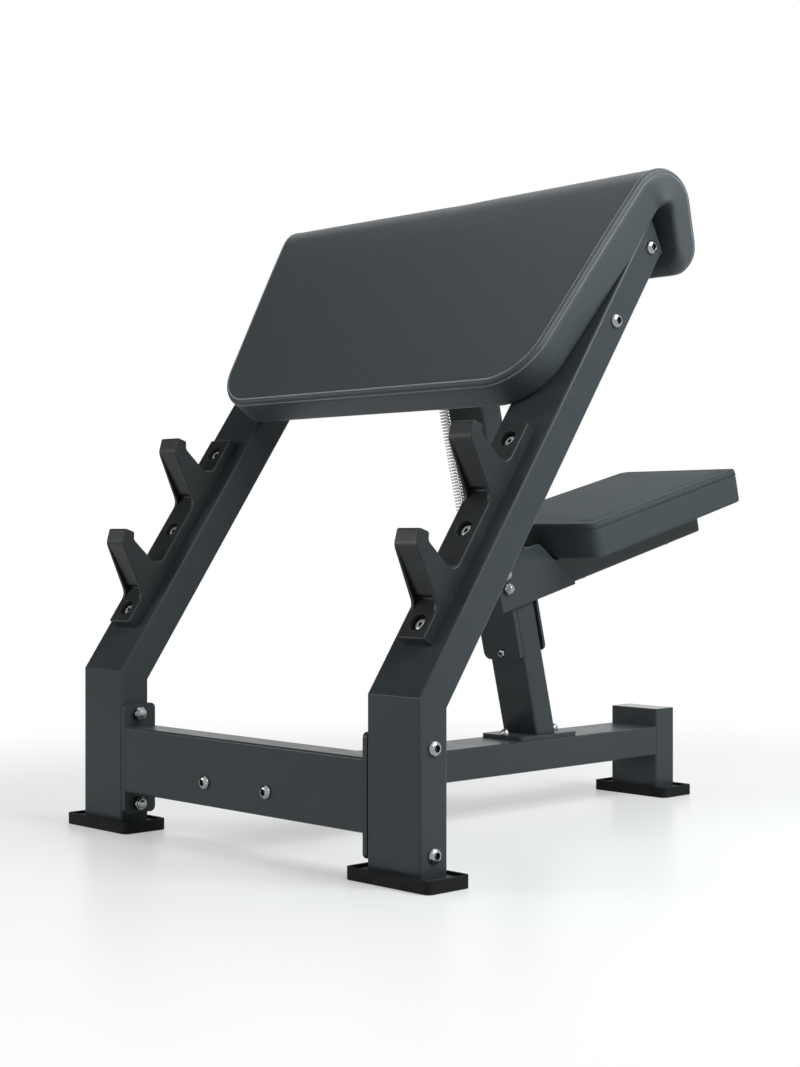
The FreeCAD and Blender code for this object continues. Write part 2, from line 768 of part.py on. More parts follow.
def arm_pad_section(inset, lift, rise):
    """Side view of the rolled pad, shrunk by an inset: crowned front, roll over the top, tail behind the legs."""
    low, roll = number("pad_bottom_reach") + lift, number("pad_roll_reach")
    back, front = number("mount_thick") + inset, number("pad_front_level") - inset
    radius = number("pad_roll_radius") - inset
    thick = number("pad_tail_thick") - 2 * inset
    lip, tip = number("pad_lip") - inset, number("pad_tip_radius") - inset
    turn = math.radians(number("pad_roll_turn"))
    centre = vector(0, roll, front - radius)
    heading = vector(0, math.cos(turn), -math.sin(turn))
    outward = vector(0, math.sin(turn), math.cos(turn))

    def on_roll(angle):
        return centre + vector(0, math.sin(angle), math.cos(angle)) * radius

    bottom_front = vector(0, low, front - number("pad_crown"))
    bottom_back = vector(0, low, back)
    tail_start = on_roll(turn)
    tail_end = tail_start + heading * (number("pad_tail_length") - inset)
    tail_inner_end = tail_end - outward * thick
    inner_start = tail_start - outward * thick
    inner_corner = inner_start + heading * ((back - inner_start.z) / heading.z)
    front_lip = corner_arc(bottom_back, bottom_front, on_roll(0), lip)
    outer_tip = corner_arc(tail_start, tail_end, tail_inner_end, tip)
    inner_tip = corner_arc(tail_end, tail_inner_end, inner_corner, tip)
    hollow = corner_arc(tail_inner_end, inner_corner, bottom_back, number("pad_inner_radius") + inset)
    back_lip = corner_arc(inner_corner, bottom_back, bottom_front, lip)
    return [
        front_lip,
        bulged(front_lip[2], on_roll(0), rise),
        (on_roll(0), on_roll(turn / 2), tail_start),
        (tail_start, outer_tip[0]),
        outer_tip,
        (outer_tip[2], inner_tip[0]),
        inner_tip,
        (inner_tip[2], hollow[0]),
        hollow,
        (hollow[2], back_lip[0]),
        back_lip,
        (back_lip[2], front_lip[0]),
    ]


def arm_pad_station(side, distance):
    """Section of the pad on a plane along one of its flared sides, at a distance in from it."""
    corner, edge, crown = number("pad_corner"), number("pad_edge"), number("pad_crown")
    rise = crown * (EDGE_CROWN_SHARE + (1 - EDGE_CROWN_SHARE) * distance / corner)
    pieces = arm_pad_section(round_inset(edge, distance), round_inset(corner, distance), rise)
    moved = []
    for piece in pieces:
        moved.append(tuple(vector(side * (pad_half_width(p.y) - distance), p.y, p.z) for p in piece))
    return to_wire(moved)


def arm_board_corners(gap="0"):
    """Plan of the pad's board, inset from the cushion, as expressions; gap widens it for the cushion's recess."""
    low = f"pad_bottom_reach + board_inset - {gap}"
    high = f"pad_roll_reach - board_inset + {gap}"
    corners = []
    for side, reach in (("-", low), ("", low), ("", high), ("-", high)):
        half = f"(pad_bottom_width / 2 + pad_flare * ({reach} - pad_bottom_reach) - board_inset + {gap})"
        corners.append((f"{side}{half}", reach))
    return corners


def recess_prism(corners, low, high):
    points = [vector(number(x), number(y), low) for x, y in corners]
    face = Part.Face(Part.makePolygon(points + points[:1]))
    return face.extrude(vector(0, 0, high - low))


def make_arm_pad():
    """Ruled loft across the pad, through sections that round its edges and its lower corners."""
    corner, edge = number("pad_corner"), number("pad_edge")
    distances = [share * edge for share in EDGE_SHARES] + [share * corner for share in CORNER_SHARES]
    stations = [arm_pad_station(-1, distance) for distance in distances]
    stations.append(to_wire(arm_pad_section(0, 0, 2 * number("pad_crown"))))
    stations += [arm_pad_station(1, distance) for distance in reversed(distances)]
    solid = Part.makeLoft(stations, True, True)
    floor = number("mount_thick")
    recess = recess_prism(arm_board_corners("fit_gap"), floor - number("pad_thick"), floor + number("board_thick + fit_gap"))
    make_solid("arm_pad", solid.cut(recess), "slope")


def make_arm_pad_board():
    body = make_body("arm_pad_board")
    holes = []
    for x in pair("mount_screw_wide"):
        for y in pair("mount_screw_long"):
            holes.append((x, f"top_cross_reach + ({y})", SCREW_HOLE))
    outline = make_sketch(body, "outline", "XY_Plane", [arm_board_corners()], holes, lift="mount_thick")
    pad(body, outline, "board_thick", "One side")
    place(body, "slope")


def make_pad_mount_plate():
    holes = []
    for x in pair("mount_screw_wide"):
        for y in pair("mount_screw_long"):
            holes.append((x, f"top_cross_reach + ({y})", SCREW_HOLE))
    corners = centred("mount_wide", "mount_long", "0", "top_cross_reach")
    body = make_plate("pad_mount_plate", "XY_Plane", corners, holes, "mount_thick", "plate_corner", Z_AXIS, "One side")
    place(body, "slope")


# Seat carriage

CROSS_BOLTS = ["cross_bolt_low", "cross_bolt_low + cross_bolt_pitch"]


def make_front_guide():
    """Plate in front of the post with two ears that the cross bolts clamp between the gussets."""
    body = make_body("front_guide")
    outline = rectangle("-guide_wide / 2", "guide_wide / 2", "guide_low", "guide_high")
    hole = [("0", "liner_bolt_low", SCREW_HOLE)]
    face = make_sketch(body, "plate", "XZ_Plane", [outline], hole, lift="guide_gap + front_guide_thick / 2")
    pad(body, face, "front_guide_thick")
    ears = rectangle("-ear_reach", "-guide_gap - front_guide_thick / 2", "ear_low", "guide_high")
    pad(body, make_sketch(body, "ears", "YZ_Plane", [ears]), "guide_wide")
    between = rectangle("-ear_reach - overrun", "-front_guide_front", "ear_low - overrun", "guide_high + overrun")
    pocket(body, make_sketch(body, "between", "YZ_Plane", [between]), "guide_wide - 2 * ear_thick")
    holes = [("-cross_bolt_out", level, SMALL_HOLE) for level in CROSS_BOLTS]
    pocket(body, make_sketch(body, "bolt_holes", "YZ_Plane", (), holes), "guide_wide + overrun")
    low = number("guide_low")
    round_edges(body, "guide_corner", lambda edge: runs_along(edge, Y_AXIS) and edge.CenterOfMass.z < low + 1e-6)
    place(body, "post")


def make_rear_guide():
    body = make_body("rear_guide")
    outline = rectangle("-guide_wide / 2", "guide_wide / 2", "guide_low", "guide_high")
    hole = [("0", "liner_bolt_high", SCREW_HOLE)]
    lift = "-post_deep - guide_gap - rear_guide_thick / 2"
    pad(body, make_sketch(body, "plate", "XZ_Plane", [outline], hole, lift=lift), "rear_guide_thick")
    low = number("guide_low")
    round_edges(body, "guide_corner", lambda edge: runs_along(edge, Y_AXIS) and edge.CenterOfMass.z < low + 1e-6)
    place(body, "post")


def make_gusset(label, side):
    corners = [("-gusset_front", "gusset_low"), ("gusset_back", "gusset_low"), ("gusset_back", "gusset_low + gusset_lip")]
    corners += [("gusset_top_back", "guide_high"), ("-gusset_front", "guide_high")]
    holes = [("-cross_bolt_out", level, SMALL_HOLE) for level in CROSS_BOLTS]
    body = make_body(label)
    pad(body, make_sketch(body, "side", "YZ_Plane", [corners], holes), "gusset_thick")
    high = number("guide_high")
    round_edges(body, "gusset_corner", lambda edge: runs_along(edge, X_AXIS) and edge.CenterOfMass.z > high - 1e-6)
    place(body, "post", f"{side} * (guide_wide / 2 + gusset_thick / 2)")


def make_liner(label, y, z, bolt):
    """Friction liner between a guide and the post, with a hole for its screw."""
    body = make_body(label)
    corners = centred("liner_wide", "liner_long", "0", z)
    face = make_sketch(body, "face", "XZ_Plane", [corners], [("0", bolt, SCREW_HOLE)], lift=f"-({y})")
    pad(body, face, "guide_gap - fit_gap")
    place(body, "post")


def make_seat_tube():
    middle = "(seat_tube_start + seat_tube_end) / 2"
    body = make_tube("seat_tube", "XZ_Plane", "seat_tube_wide", "seat_tube_tall", "tube_wall",
                     "seat_tube_end - seat_tube_start", Y_AXIS, "0", "seat_rise + seat_tube_tall / 2", f"-{middle}")
    holes = [(x, y, SCREW_HOLE) for x, y in seat_bolt_places()]
    pocket(body, make_sketch(body, "bolt_holes", "XY_Plane", (), holes), "2 * seat_level + overrun")
    place(body, "post")
    wide = "(seat_tube_wide - 2 * tube_wall - 2 * fit_gap)"
    tall = "(seat_tube_tall - 2 * tube_wall - 2 * fit_gap)"
    make_box("seat_tube_cap", wide, "cap_thick", tall, "post", f"-{wide} / 2", "seat_tube_end - cap_thick",
             f"seat_rise + seat_tube_tall / 2 - {tall} / 2")


def seat_bolt_places():
    rows = ["seat_front + seat_bolt_front", "seat_end - seat_bolt_rear"]
    return [(x, y) for x in pair("seat_bolt_wide") for y in rows]


def seat_board_corners(gap="0"):
    front = f"(seat_front_width / 2 - seat_board_inset + {gap})"
    rear = f"(seat_rear_width / 2 - seat_board_inset + {gap})"
    near, far = f"seat_front + seat_board_inset - {gap}", f"seat_end - seat_board_inset + {gap}"
    return [(f"-{front}", near), (front, near), (rear, far), (f"-{rear}", far)]


def make_seat_board():
    body = make_body("seat_board")
    holes = [(x, y, SCREW_HOLE) for x, y in seat_bolt_places()]
    outline = make_sketch(body, "outline", "XY_Plane", [seat_board_corners()], holes, lift="seat_level")
    pad(body, outline, "board_thick", "One side")
    place(body, "post")


def seat_pad_section(inset, lift, drop):
    """Side view of the seat cushion, shrunk by an inset: walls, rounded edges and a crowned top."""
    near, far = number("seat_front") + lift, number("seat_end") - lift
    floor, top = number("seat_level") + inset, number("seat_level + seat_thick") - inset - drop
    crown, lip = number("seat_crown"), number("seat_lip") - inset
    front_top, rear_top = vector(0, near, top - crown), vector(0, far, top - crown)
    front_low, rear_low = vector(0, near, floor), vector(0, far, floor)
    front_lip = corner_arc(front_low, front_top, rear_top, lip)
    rear_lip = corner_arc(front_top, rear_top, rear_low, lip)
    rear_tuck = corner_arc(rear_top, rear_low, front_low, lip)
    front_tuck = corner_arc(rear_low, front_low, front_top, lip)
    return [
        front_lip,
        bulged(front_lip[2], rear_lip[0], crown),
        rear_lip,
        (rear_lip[2], rear_tuck[0]),
        rear_tuck,
        (rear_tuck[2], front_tuck[0]),
        front_tuck,
        (front_tuck[2], front_lip[0]),
    ]


def seat_half_width(back):
    front, rear = number("seat_front_width / 2"), number("seat_rear_width / 2")
    return front + (rear - front) * (back - number("seat_front")) / number("seat_long")


def seat_pad_station(side, distance):
    """Section of the seat cushion on a plane along one of its sides, at a distance in from it."""
    share = distance / number("seat_rear_width / 2")
    drop = number("seat_crown") * (1 - share) ** 2
    inset = round_inset(number("seat_edge"), distance)
    pieces = seat_pad_section(inset, round_inset(number("seat_corner"), distance), drop)
    moved = []
    for piece in pieces:
        moved.append(tuple(vector(side * (seat_half_width(p.y) - distance), p.y, p.z) for p in piece))
    return to_wire(moved)


def make_seat_pad():
    """Ruled loft across the cushion, a little narrower at the back, with a recess for its board."""
    distances = [share * number("seat_edge") for share in EDGE_SHARES] + [number("seat_rear_width / 4")]
    stations = [seat_pad_station(-1, distance) for distance in distances]
    stations.append(to_wire(seat_pad_section(0, 0, 0)))
    stations += [seat_pad_station(1, distance) for distance in reversed(distances)]
    solid = Part.makeLoft(stations, True, True)
    recess = recess_prism(seat_board_corners("fit_gap"), 0, number("seat_level + board_thick + fit_gap"))
    make_solid("seat_pad", solid.cut(recess), "post")


# Lift spring


def make_spring_lug():
    """Lug on the front of the post that carries the spring's upper pin."""
    body = make_body("spring_lug")
    out = "cross_bolt_out + spring_lug_margin"
    corners = rectangle(f"-({out})", "0", "spring_pin_high - spring_lug_long / 2", "spring_pin_high + spring_lug_long / 2")
    pad(body, make_sketch(body, "side", "YZ_Plane", [corners]), "spring_lug_thick")
    rear = body.Shape.BoundBox.YMax
    round_edges(body, "plate_corner", lambda edge: runs_along(edge, X_AXIS) and edge.CenterOfMass.y < rear - 1e-6)
    hole = [("-cross_bolt_out", "spring_pin_high", SMALL_HOLE)]
    pocket(body, make_sketch(body, "pin_hole", "YZ_Plane", (), hole), "spring_lug_thick + overrun")
    place(body, "post", "-(spring_side - spring_radius - spring_lug_gap)")


def biarc(start, start_heading, end, end_heading):
    """Two tangent arcs from one point and heading to another."""
    span = end - start
    both = start_heading + end_heading
    square = both.dot(both) - 4
    linear = -2 * span.dot(both)
    reach = (-linear - math.sqrt(linear * linear - 4 * square * span.dot(span))) / (2 * square)
    before, after = start + start_heading * reach, end - end_heading * reach
    joint = (before + after) / 2
    return [tangent_arc(start, before, joint), tangent_arc(joint, after, end)]


def tangent_arc(start, corner, end):
    """Arc from start to end whose tangents meet at the corner: its start, middle and end."""
    middle = (start + end) / 2
    rise = corner - middle
    half_chord = (end - start).Length / 2
    angle = math.atan2(rise.Length, half_chord)
    return start, middle + rise.normalize() * (half_chord * math.tan(angle / 2)), end


def spring_route():
    """Hook under the lower cross bolt, the coil, and hook over the upper pin, as arcs and straight runs."""
    side, out = -number("spring_side"), -number("cross_bolt_out")
    radius, bend, leg = number("spring_radius"), number("spring_bend"), number("spring_leg")
    bolt, pin = number(CROSS_BOLTS[1]), number("spring_pin_high")
    turns = round(number("spring_turns"))
    low, high = bolt + leg + bend, pin - leg - bend
    wire = number("spring_wire")
    pitch = (high - low) / turns
    slope = math.atan2(pitch, 2 * math.pi * radius)

    def on_coil(turn):
        angle = 2 * math.pi * turn
        point = vector(side - radius * math.sin(angle), out + radius * math.cos(angle), low + pitch * turn)
        across = vector(-math.cos(angle), -math.sin(angle), 0) * math.cos(slope)
        return point, across + vector(0, 0, math.sin(slope))

    steps = [on_coil(step / 2) for step in range(2 * turns + 1)]
    coil = []
    for (start, heading), (end, end_heading) in zip(steps, steps[1:]):
        coil += biarc(start, heading, end, end_heading)
    up = vector(0, 0, 1)

    def hook(centre, first, direction):
        """Leg from the coil's end, half a turn round the pin, and a short straight end."""
        point, heading = first
        corner = point + heading * bend
        knee = corner + direction * bend
        level = vector(knee.x, knee.y, centre)
        far = vector(knee.x, 2 * out - knee.y, centre)
        crown = (level + far) / 2 + direction * ((far - level).Length / 2)
        return [tangent_arc(point, corner, knee), (knee, level), (level, crown, far), (far, far - direction * wire)]

    top_point, top_heading = steps[-1]
    bottom_point, bottom_heading = steps[0]
    head = hook(pin, (top_point, top_heading), up)
    tail = hook(bolt, (bottom_point, bottom_heading * -1), up * -1)
    route = [tuple(reversed(piece)) for piece in reversed(tail)] + coil + head
    return route


def make_lift_spring():
    route = spring_route()
    edges = [arc(*piece) if len(piece) == 3 else line(*piece) for piece in route]
    spine = Part.Wire(edges)
    wire = number("spring_wire")
    start, ahead = route[0][0], (route[0][1] - route[0][0]).normalize()
    across = vector(1, 0, 0)
    over = ahead.cross(across)
    corners = []
    for sign_a, sign_b in ((-1, -1), (1, -1), (1, 1), (-1, 1)):
        corners.append(start + across * (sign_a * wire / 2) + over * (sign_b * wire / 2))
    section = Part.makePolygon(corners + corners[:1])
    solid = spine.makePipeShell([section], True, False)
    print("spring self gap", round(spring_self_gap(route) - wire * math.sqrt(2), 2), "mm")
    print("spring volume share", round(solid.Volume / (wire * wire * spine.Length), 4))
    make_solid("lift_spring", solid, "post")


def spring_self_gap(route):
    """Least distance between points of the wire that lie at least half a turn apart along it."""
    points = []
    for piece in route:
        if len(piece) == 3:
            points += list(piece[:2])
        else:
            points.append(piece[0])
    gaps = []
    for index, point in enumerate(points):
        for other in points[index + 6 : index + 24]:
            gaps.append((other - point).Length)
    return min(gaps)


# Fasteners


def flats(radius, sides, height):
    """Regular polygon round the Z axis at a height."""
    angles = [(step + 0.5) * 2 * math.pi / sides for step in range(sides)]
    points = [vector(radius * math.cos(angle), radius * math.sin(angle), height) for angle in angles]
    return Part.makePolygon(points + points[:1])


def prism(radius, sides, low, high):
    return Part.Face(flats(radius, sides, low)).extrude(vector(0, 0, high - low))


def bolt(size, length):
    """Bolt on the Z axis: its head stands on the XY plane and its shank hangs below."""
    radius = number(f"{size}_radius")
    head = number(f"{size}_head_radius")
    height = number(f"{size}_head_height")
    return prism(head, HEAD_SIDES, 0, height).fuse(prism(radius, SHANK_SIDES, -length, height / 2)).removeSplitter()


def nut(size):
    """Hexagon nut that stands on the XY plane, with a clear bore."""
    height = number(f"{size}_nut_height")
    block = prism(number(f"{size}_nut_flats") / math.sqrt(3), 6, 0, height)
    return block.cut(prism(number(f"{size}_radius + hole_clearance"), SHANK_SIDES, -height, 2 * height))


def stand(shape, base, direction):
    """Copy of a fastener moved to a seat, its axis turned along the direction."""
    turned = shape.copy()
    turned.Placement = FreeCAD.Placement(base, FreeCAD.Rotation(vector(0, 0, 1), direction))
    return turned


def make_group(label, shape, seats, frame):
    make_solid(label, Part.makeCompound([stand(shape, base, direction) for base, direction in seats]), frame)


def make_frame_fasteners():
    """Large bolts through the legs and end plates, heads outside and nuts on the plates."""
    bolts = []
    nuts = []
    outer, inner = number("frame_width / 2"), number("leg_inner - end_plate_thick")
    for side in SIDES.values():
        for y, z in frame_bolt_places():
            bolts.append((vector(side * outer, number(y), number(z)), vector(side, 0, 0)))
            nuts.append((vector(side * inner, number(y), number(z)), vector(-side, 0, 0)))
    length = number("tube_wide + end_plate_thick + large_nut_height + bolt_tail")
    make_group("frame_bolts", bolt("large", length), bolts, "bench")
    make_group("frame_nuts", nut("large"), nuts, "bench")


def make_rail_fasteners():
    seats = [(vector(number(x), 0, number("rail_height")), vector(0, -1, 0)) for x in pair("flange_bolt_span")]
    length = number("tube_deep + flange_thick + large_nut_height + bolt_tail")
    make_group("rail_bolts", bolt("large", length), seats, "bench")
    behind = vector(0, number("rail_front"), 0)
    make_group("rail_nuts", nut("large"), [(base + behind, vector(0, 1, 0)) for base, _ in seats], "bench")


def make_catch_bolts():
    seats = []
    level = number("catch_base - catch_bore_depth")
    for side in SIDES.values():
        for reach in CATCH_BOLTS:
            seats.append((vector(side * number("leg_middle"), number(reach), level), vector(0, 0, 1)))
    length = level + number("2 * tube_wall + large_nut_height")
    make_group("catch_bolts", bolt("small", length), seats, "slope")


def make_post_bolts():
    middle, top = number("post_plate_middle"), number("post_rise")
    seats = [(vector(0, middle + number(y), top), vector(0, 0, 1)) for y in pair("post_plate_bolt_span")]
    length = number("post_plate_thick + tube_wall + small_nut_height")
    make_group("post_base_bolts", bolt("small", length), seats, "bench")
    level = number("-tube_deep - flange_thick")
    seats = [
        (vector(number(x), number("top_cross_reach"), level), vector(0, 0, -1)) for x in pair("top_flange_bolt_span")
    ]
    length = number("flange_thick + tube_wall + small_nut_height")
    make_group("post_top_bolts", bolt("small", length), seats, "slope")


def make_pad_screws():
    seats = []
    for x in pair("mount_screw_wide"):
        for y in pair("mount_screw_long"):
            seats.append((vector(number(x), number(f"top_cross_reach + ({y})"), 0), vector(0, 0, -1)))
    make_group("pad_screws", bolt("screw", number("mount_thick + board_thick - bolt_tail")), seats, "slope")


def make_carriage_fasteners():
    outer, out = number("guide_wide / 2 + gusset_thick"), -number("cross_bolt_out")
    heads = [(vector(-outer, out, number(level)), vector(-1, 0, 0)) for level in CROSS_BOLTS]
    nuts = [(vector(outer, out, number(level)), vector(1, 0, 0)) for level in CROSS_BOLTS]
    length = number("guide_wide + 2 * gusset_thick + small_nut_height + bolt_tail")
    make_group("cross_bolts", bolt("small", length), heads, "post")
    make_group("cross_nuts", nut("small"), nuts, "post")
    low = (vector(0, -number("front_guide_front"), number("liner_bolt_low")), vector(0, -1, 0))
    make_group("front_liner_screw", bolt("screw", number("front_guide_thick + fit_gap")), [low], "post")
    high = (vector(0, number("seat_tube_start"), number("liner_bolt_high")), vector(0, 1, 0))
    make_group("rear_liner_screw", bolt("screw", number("rear_guide_thick + fit_gap")), [high], "post")
    level = number("seat_rise")
    seats = [(vector(number(x), number(y), level), vector(0, 0, -1)) for x, y in seat_bolt_places()]
    make_group("seat_bolts", bolt("screw", number("seat_tube_tall + board_thick - bolt_tail")), seats, "post")


def make_spring_pin():
    """Shouldered pin through the lug; its head keeps the spring's hook on."""
    out, level = -number("cross_bolt_out"), number("spring_pin_high")
    left = -number("spring_side + spring_pin_end")
    right = -number("spring_side - spring_radius - spring_lug_gap - spring_lug_thick / 2")
    length = right - left + number("small_nut_height + bolt_tail")
    make_group("spring_pin", bolt("small", length), [(vector(left, out, level), vector(-1, 0, 0))], "post")
    make_group("spring_pin_nut", nut("small"), [(vector(right, out, level), vector(1, 0, 0))], "post")


# The bench

for side_name, sign in SIDES.items():
    make_leg(side_name + "_leg", sign)
    make_leg_cap(side_name + "_leg_cap", sign)
    make_foot(side_name + "_foot", f"{sign} * leg_middle", "tube_deep / 2")
    make_end_plate(side_name + "_front_end_plate", sign, "bench", "cross_height", "end_plate_deep")
    make_end_plate(side_name + "_top_end_plate", sign, "slope", "top_cross_reach", "end_plate_deep")
    make_catch(side_name + "_bar_catch", sign)
    make_gusset(side_name + "_gusset", sign)
make_foot("rear_foot", "0", "base_length - tube_deep / 2")
make_front_cross_tube()
make_top_cross_tube()
make_base_rail()
make_rail_flange()
make_rear_leg()
make_post_base_plate()
make_seat_post()
make_post_top_flange()
make_pad_mount_plate()
make_arm_pad_board()
make_arm_pad()
make_front_guide()
make_rear_guide()
make_liner("front_liner", "-(guide_gap + fit_gap) / 2", "guide_low + liner_edge + liner_long / 2", "liner_bolt_low")
make_liner("rear_liner", "post_deep + (guide_gap + fit_gap) / 2", "guide_high - liner_edge - liner_long / 2",
           "liner_bolt_high")
make_seat_tube()
make_seat_board()
make_seat_pad()
make_spring_lug()
make_spring_pin()
make_lift_spring()
make_frame_fasteners()
make_rail_fasteners()
make_catch_bolts()
make_post_bolts()
make_pad_screws()
make_carriage_fasteners()

doc.recompute()
for item in doc.Objects:
    if "Invalid" in item.State or "Error" in item.State:
        raise RuntimeError(f"{item.Label} did not compute")
for node in NODES:
    if node.Shape.isNull() or not node.Shape.isValid() or node.Shape.Volume <= 0:
        raise RuntimeError(f"{node.Label} has no valid solid")

os.makedirs("parts", exist_ok=True)
for node in NODES:
    node.Shape.exportStep(f"parts/{node.Label}.step")
print(len(NODES), "nodes written")
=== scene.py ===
"""Looks of the preacher curl bench: cushions, lift spring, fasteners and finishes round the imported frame.

Metres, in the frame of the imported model. Sizes in millimetres are multiplied by MM where they are used.
"""

import json
import math
from collections import namedtuple

import bpy
import numpy as np
from mathutils import Matrix, Vector


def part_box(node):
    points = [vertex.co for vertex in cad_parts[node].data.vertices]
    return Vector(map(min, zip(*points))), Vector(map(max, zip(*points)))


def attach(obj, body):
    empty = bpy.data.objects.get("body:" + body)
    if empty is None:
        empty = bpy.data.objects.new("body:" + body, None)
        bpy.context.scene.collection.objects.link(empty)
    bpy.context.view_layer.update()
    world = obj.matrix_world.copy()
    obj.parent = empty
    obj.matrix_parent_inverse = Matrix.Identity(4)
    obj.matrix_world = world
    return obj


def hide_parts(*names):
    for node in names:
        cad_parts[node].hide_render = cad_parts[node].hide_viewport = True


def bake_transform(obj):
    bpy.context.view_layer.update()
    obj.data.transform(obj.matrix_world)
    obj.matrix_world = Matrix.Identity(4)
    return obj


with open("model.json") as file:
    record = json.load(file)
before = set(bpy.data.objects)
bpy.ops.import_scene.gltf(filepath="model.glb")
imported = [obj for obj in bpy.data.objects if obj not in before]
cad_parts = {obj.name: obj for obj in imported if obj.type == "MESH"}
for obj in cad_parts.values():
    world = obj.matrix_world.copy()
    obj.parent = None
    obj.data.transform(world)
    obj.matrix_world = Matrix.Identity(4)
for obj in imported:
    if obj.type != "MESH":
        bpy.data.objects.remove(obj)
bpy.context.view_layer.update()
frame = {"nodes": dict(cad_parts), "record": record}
scene = bpy.context.scene
nodes = frame["nodes"]
MM = 0.001

# Frames of the sloped legs and of the leaning post

SLOPE_ANGLE = math.radians(55)
POST_LEAN = math.radians(14)
BEND_HEIGHT = 245 * MM
POST_DEEP = 45 * MM

leg_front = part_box("left_leg")[0].y
post_low, post_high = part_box("seat_post")
post_foot = Vector((0, post_high.y - POST_DEEP / math.cos(POST_LEAN), post_low.z))
BENCH = Matrix.Identity(4)
SLOPE = Matrix.Translation((0, leg_front, BEND_HEIGHT)) @ Matrix.Rotation(SLOPE_ANGLE, 4, "X")
POST = Matrix.Translation(post_foot) @ Matrix.Rotation(POST_LEAN, 4, "X")


def moved(matrix, points):
    """Points of a local frame, brought into the bench's frame."""
    turn = np.array(matrix.to_3x3())
    return np.asarray(points, float) @ turn.T + np.array(matrix.translation)


def local(matrix, points):
    """Points of the bench's frame, brought into a local frame."""
    turn = np.array(matrix.to_3x3())
    return (np.asarray(points, float) - np.array(matrix.translation)) @ turn


# Sums used in several places


def unit(vector):
    return vector / np.linalg.norm(vector, axis=-1, keepdims=True)


def smoothstep(value):
    value = np.clip(value, 0, 1)
    return value * value * (3 - 2 * value)


def spread(value, count):
    """A value for each point of a ring, from one value or from as many as there are points."""
    return np.broadcast_to(np.asarray(value, float), (count,))


def full_turn(steps):
    return [2 * math.pi * step / steps for step in range(steps)]


# Camera

CAMERA_RIGHT = 2.0435
CAMERA_BACK = 1.6378
CAMERA_HEIGHT = 0.4545
CAMERA_TURN = math.radians(46.16)
SENSOR_HEIGHT = 24
LENS = 41.4

camera_data = bpy.data.cameras.new("camera")
camera_data.sensor_fit = "VERTICAL"
camera_data.sensor_height = SENSOR_HEIGHT
camera_data.lens = LENS
camera = bpy.data.objects.new("camera", camera_data)
camera.location = (CAMERA_RIGHT, leg_front - CAMERA_BACK, CAMERA_HEIGHT)
camera.rotation_euler = (math.pi / 2, 0, CAMERA_TURN)
scene.collection.objects.link(camera)
scene.camera = camera
scene.view_settings.view_transform = "Standard"


# Materials

NOISE_LOW = 0.3
NOISE_HIGH = 0.7


def plug(tree, node, values):
    """Set a node's inputs by name: another node's output is linked, a plain value is set."""
    for name, value in values.items():
        socket = node.inputs[name.replace("_", " ")]
        if isinstance(value, bpy.types.NodeSocket):
            tree.links.new(value, socket)
        else:
            socket.default_value = value


def shade(colour, factor):
    return tuple(channel * factor for channel in colour)


class Shader:
    """A material under construction, with its main shader and object coordinates."""

    def __init__(self, name):
        self.material = bpy.data.materials.new(name)
        self.material.use_nodes = True
        self.tree = self.material.node_tree
        self.main = self.tree.nodes["Principled BSDF"]
        self.place = self.add("ShaderNodeTexCoord").outputs["Object"]

    def add(self, kind, **values):
        node = self.tree.nodes.new(kind)
        plug(self.tree, node, values)
        return node

    def noise(self, scale, detail=3.0, roughness=0.5, place=None):
        node = self.add("ShaderNodeTexNoise", Vector=place or self.place, Scale=scale, Detail=detail,
                        Roughness=roughness)
        return node.outputs["Fac"]

    def cells(self, scale):
        node = self.add("ShaderNodeTexVoronoi", Vector=self.place, Scale=scale)
        node.feature = "DISTANCE_TO_EDGE"
        return node.outputs["Distance"]

    def stretched(self, scale):
        return self.add("ShaderNodeMapping", Vector=self.place, Scale=scale).outputs["Vector"]

    def ramp(self, value, stops):
        node = self.add("ShaderNodeValToRGB", Fac=value)
        points = node.color_ramp.elements
        while len(points) < len(stops):
            points.new(0.5)
        for point, (position, colour) in zip(points, stops):
            point.position = position
            point.color = (*colour, 1)
        return node.outputs["Color"]

    def span(self, value, low, high):
        """The range that a noise really takes up, spread from a low to a high value."""
        node = self.add("ShaderNodeMapRange", Value=value, From_Min=NOISE_LOW, From_Max=NOISE_HIGH,
                        To_Min=low, To_Max=high)
        return node.outputs["Result"]

    def bump(self, height, strength, distance, **base):
        node = self.add("ShaderNodeBump", Height=height, Strength=strength, Distance=distance, **base)
        return node.outputs["Normal"]

    def mottle(self, scale, colour, dark, light, edge=NOISE_LOW):
        """A colour that drifts between a darker and a lighter tone."""
        stops = [(edge, shade(colour, dark)), (1 - edge, shade(colour, light))]
        return self.ramp(self.noise(scale, 4.0), stops)

    def patches(self, scale, low, high, detail=4.0):
        """A roughness that differs from place to place."""
        return self.span(self.noise(scale, detail), low, high)

    def done(self, **values):
        plug(self.tree, self.main, values)
        return self.material


def powder_coat(name, colour, rough):
    """Satin powder coat: slow changes of tone, a fine orange peel and duller patches."""
    paint = Shader(name)
    waves = paint.bump(paint.noise(200.0, 1.0), 0.06, 0.0003)
    peel = paint.bump(paint.noise(800.0, 2.0), 0.08, 0.0002, Normal=waves)
    return paint.done(Base_Color=paint.mottle(7.0, colour, 0.95, 1.05, 0.35),
                      Roughness=paint.patches(30.0, rough - 0.03, rough + 0.04),
                      Normal=peel, Specular_IOR_Level=0.19)


def grained_cover(name, colour, low, high, gloss, sheen):
    """Soft upholstery cover: pebbled grain with fine pores, and a gloss that varies from place to place."""
    cover = Shader(name)
    pebbles = cover.bump(cover.cells(520.0), 0.5, 0.0006)
    pores = cover.bump(cover.noise(1900.0, 2.0), 0.22, 0.0003, Normal=pebbles)
    return cover.done(Base_Color=cover.mottle(380.0, colour, 0.84, 1.18),
                      Roughness=cover.patches(240.0, low, high), Normal=pores,
                      Specular_IOR_Level=gloss, Sheen_Weight=sheen, Sheen_Roughness=0.4)


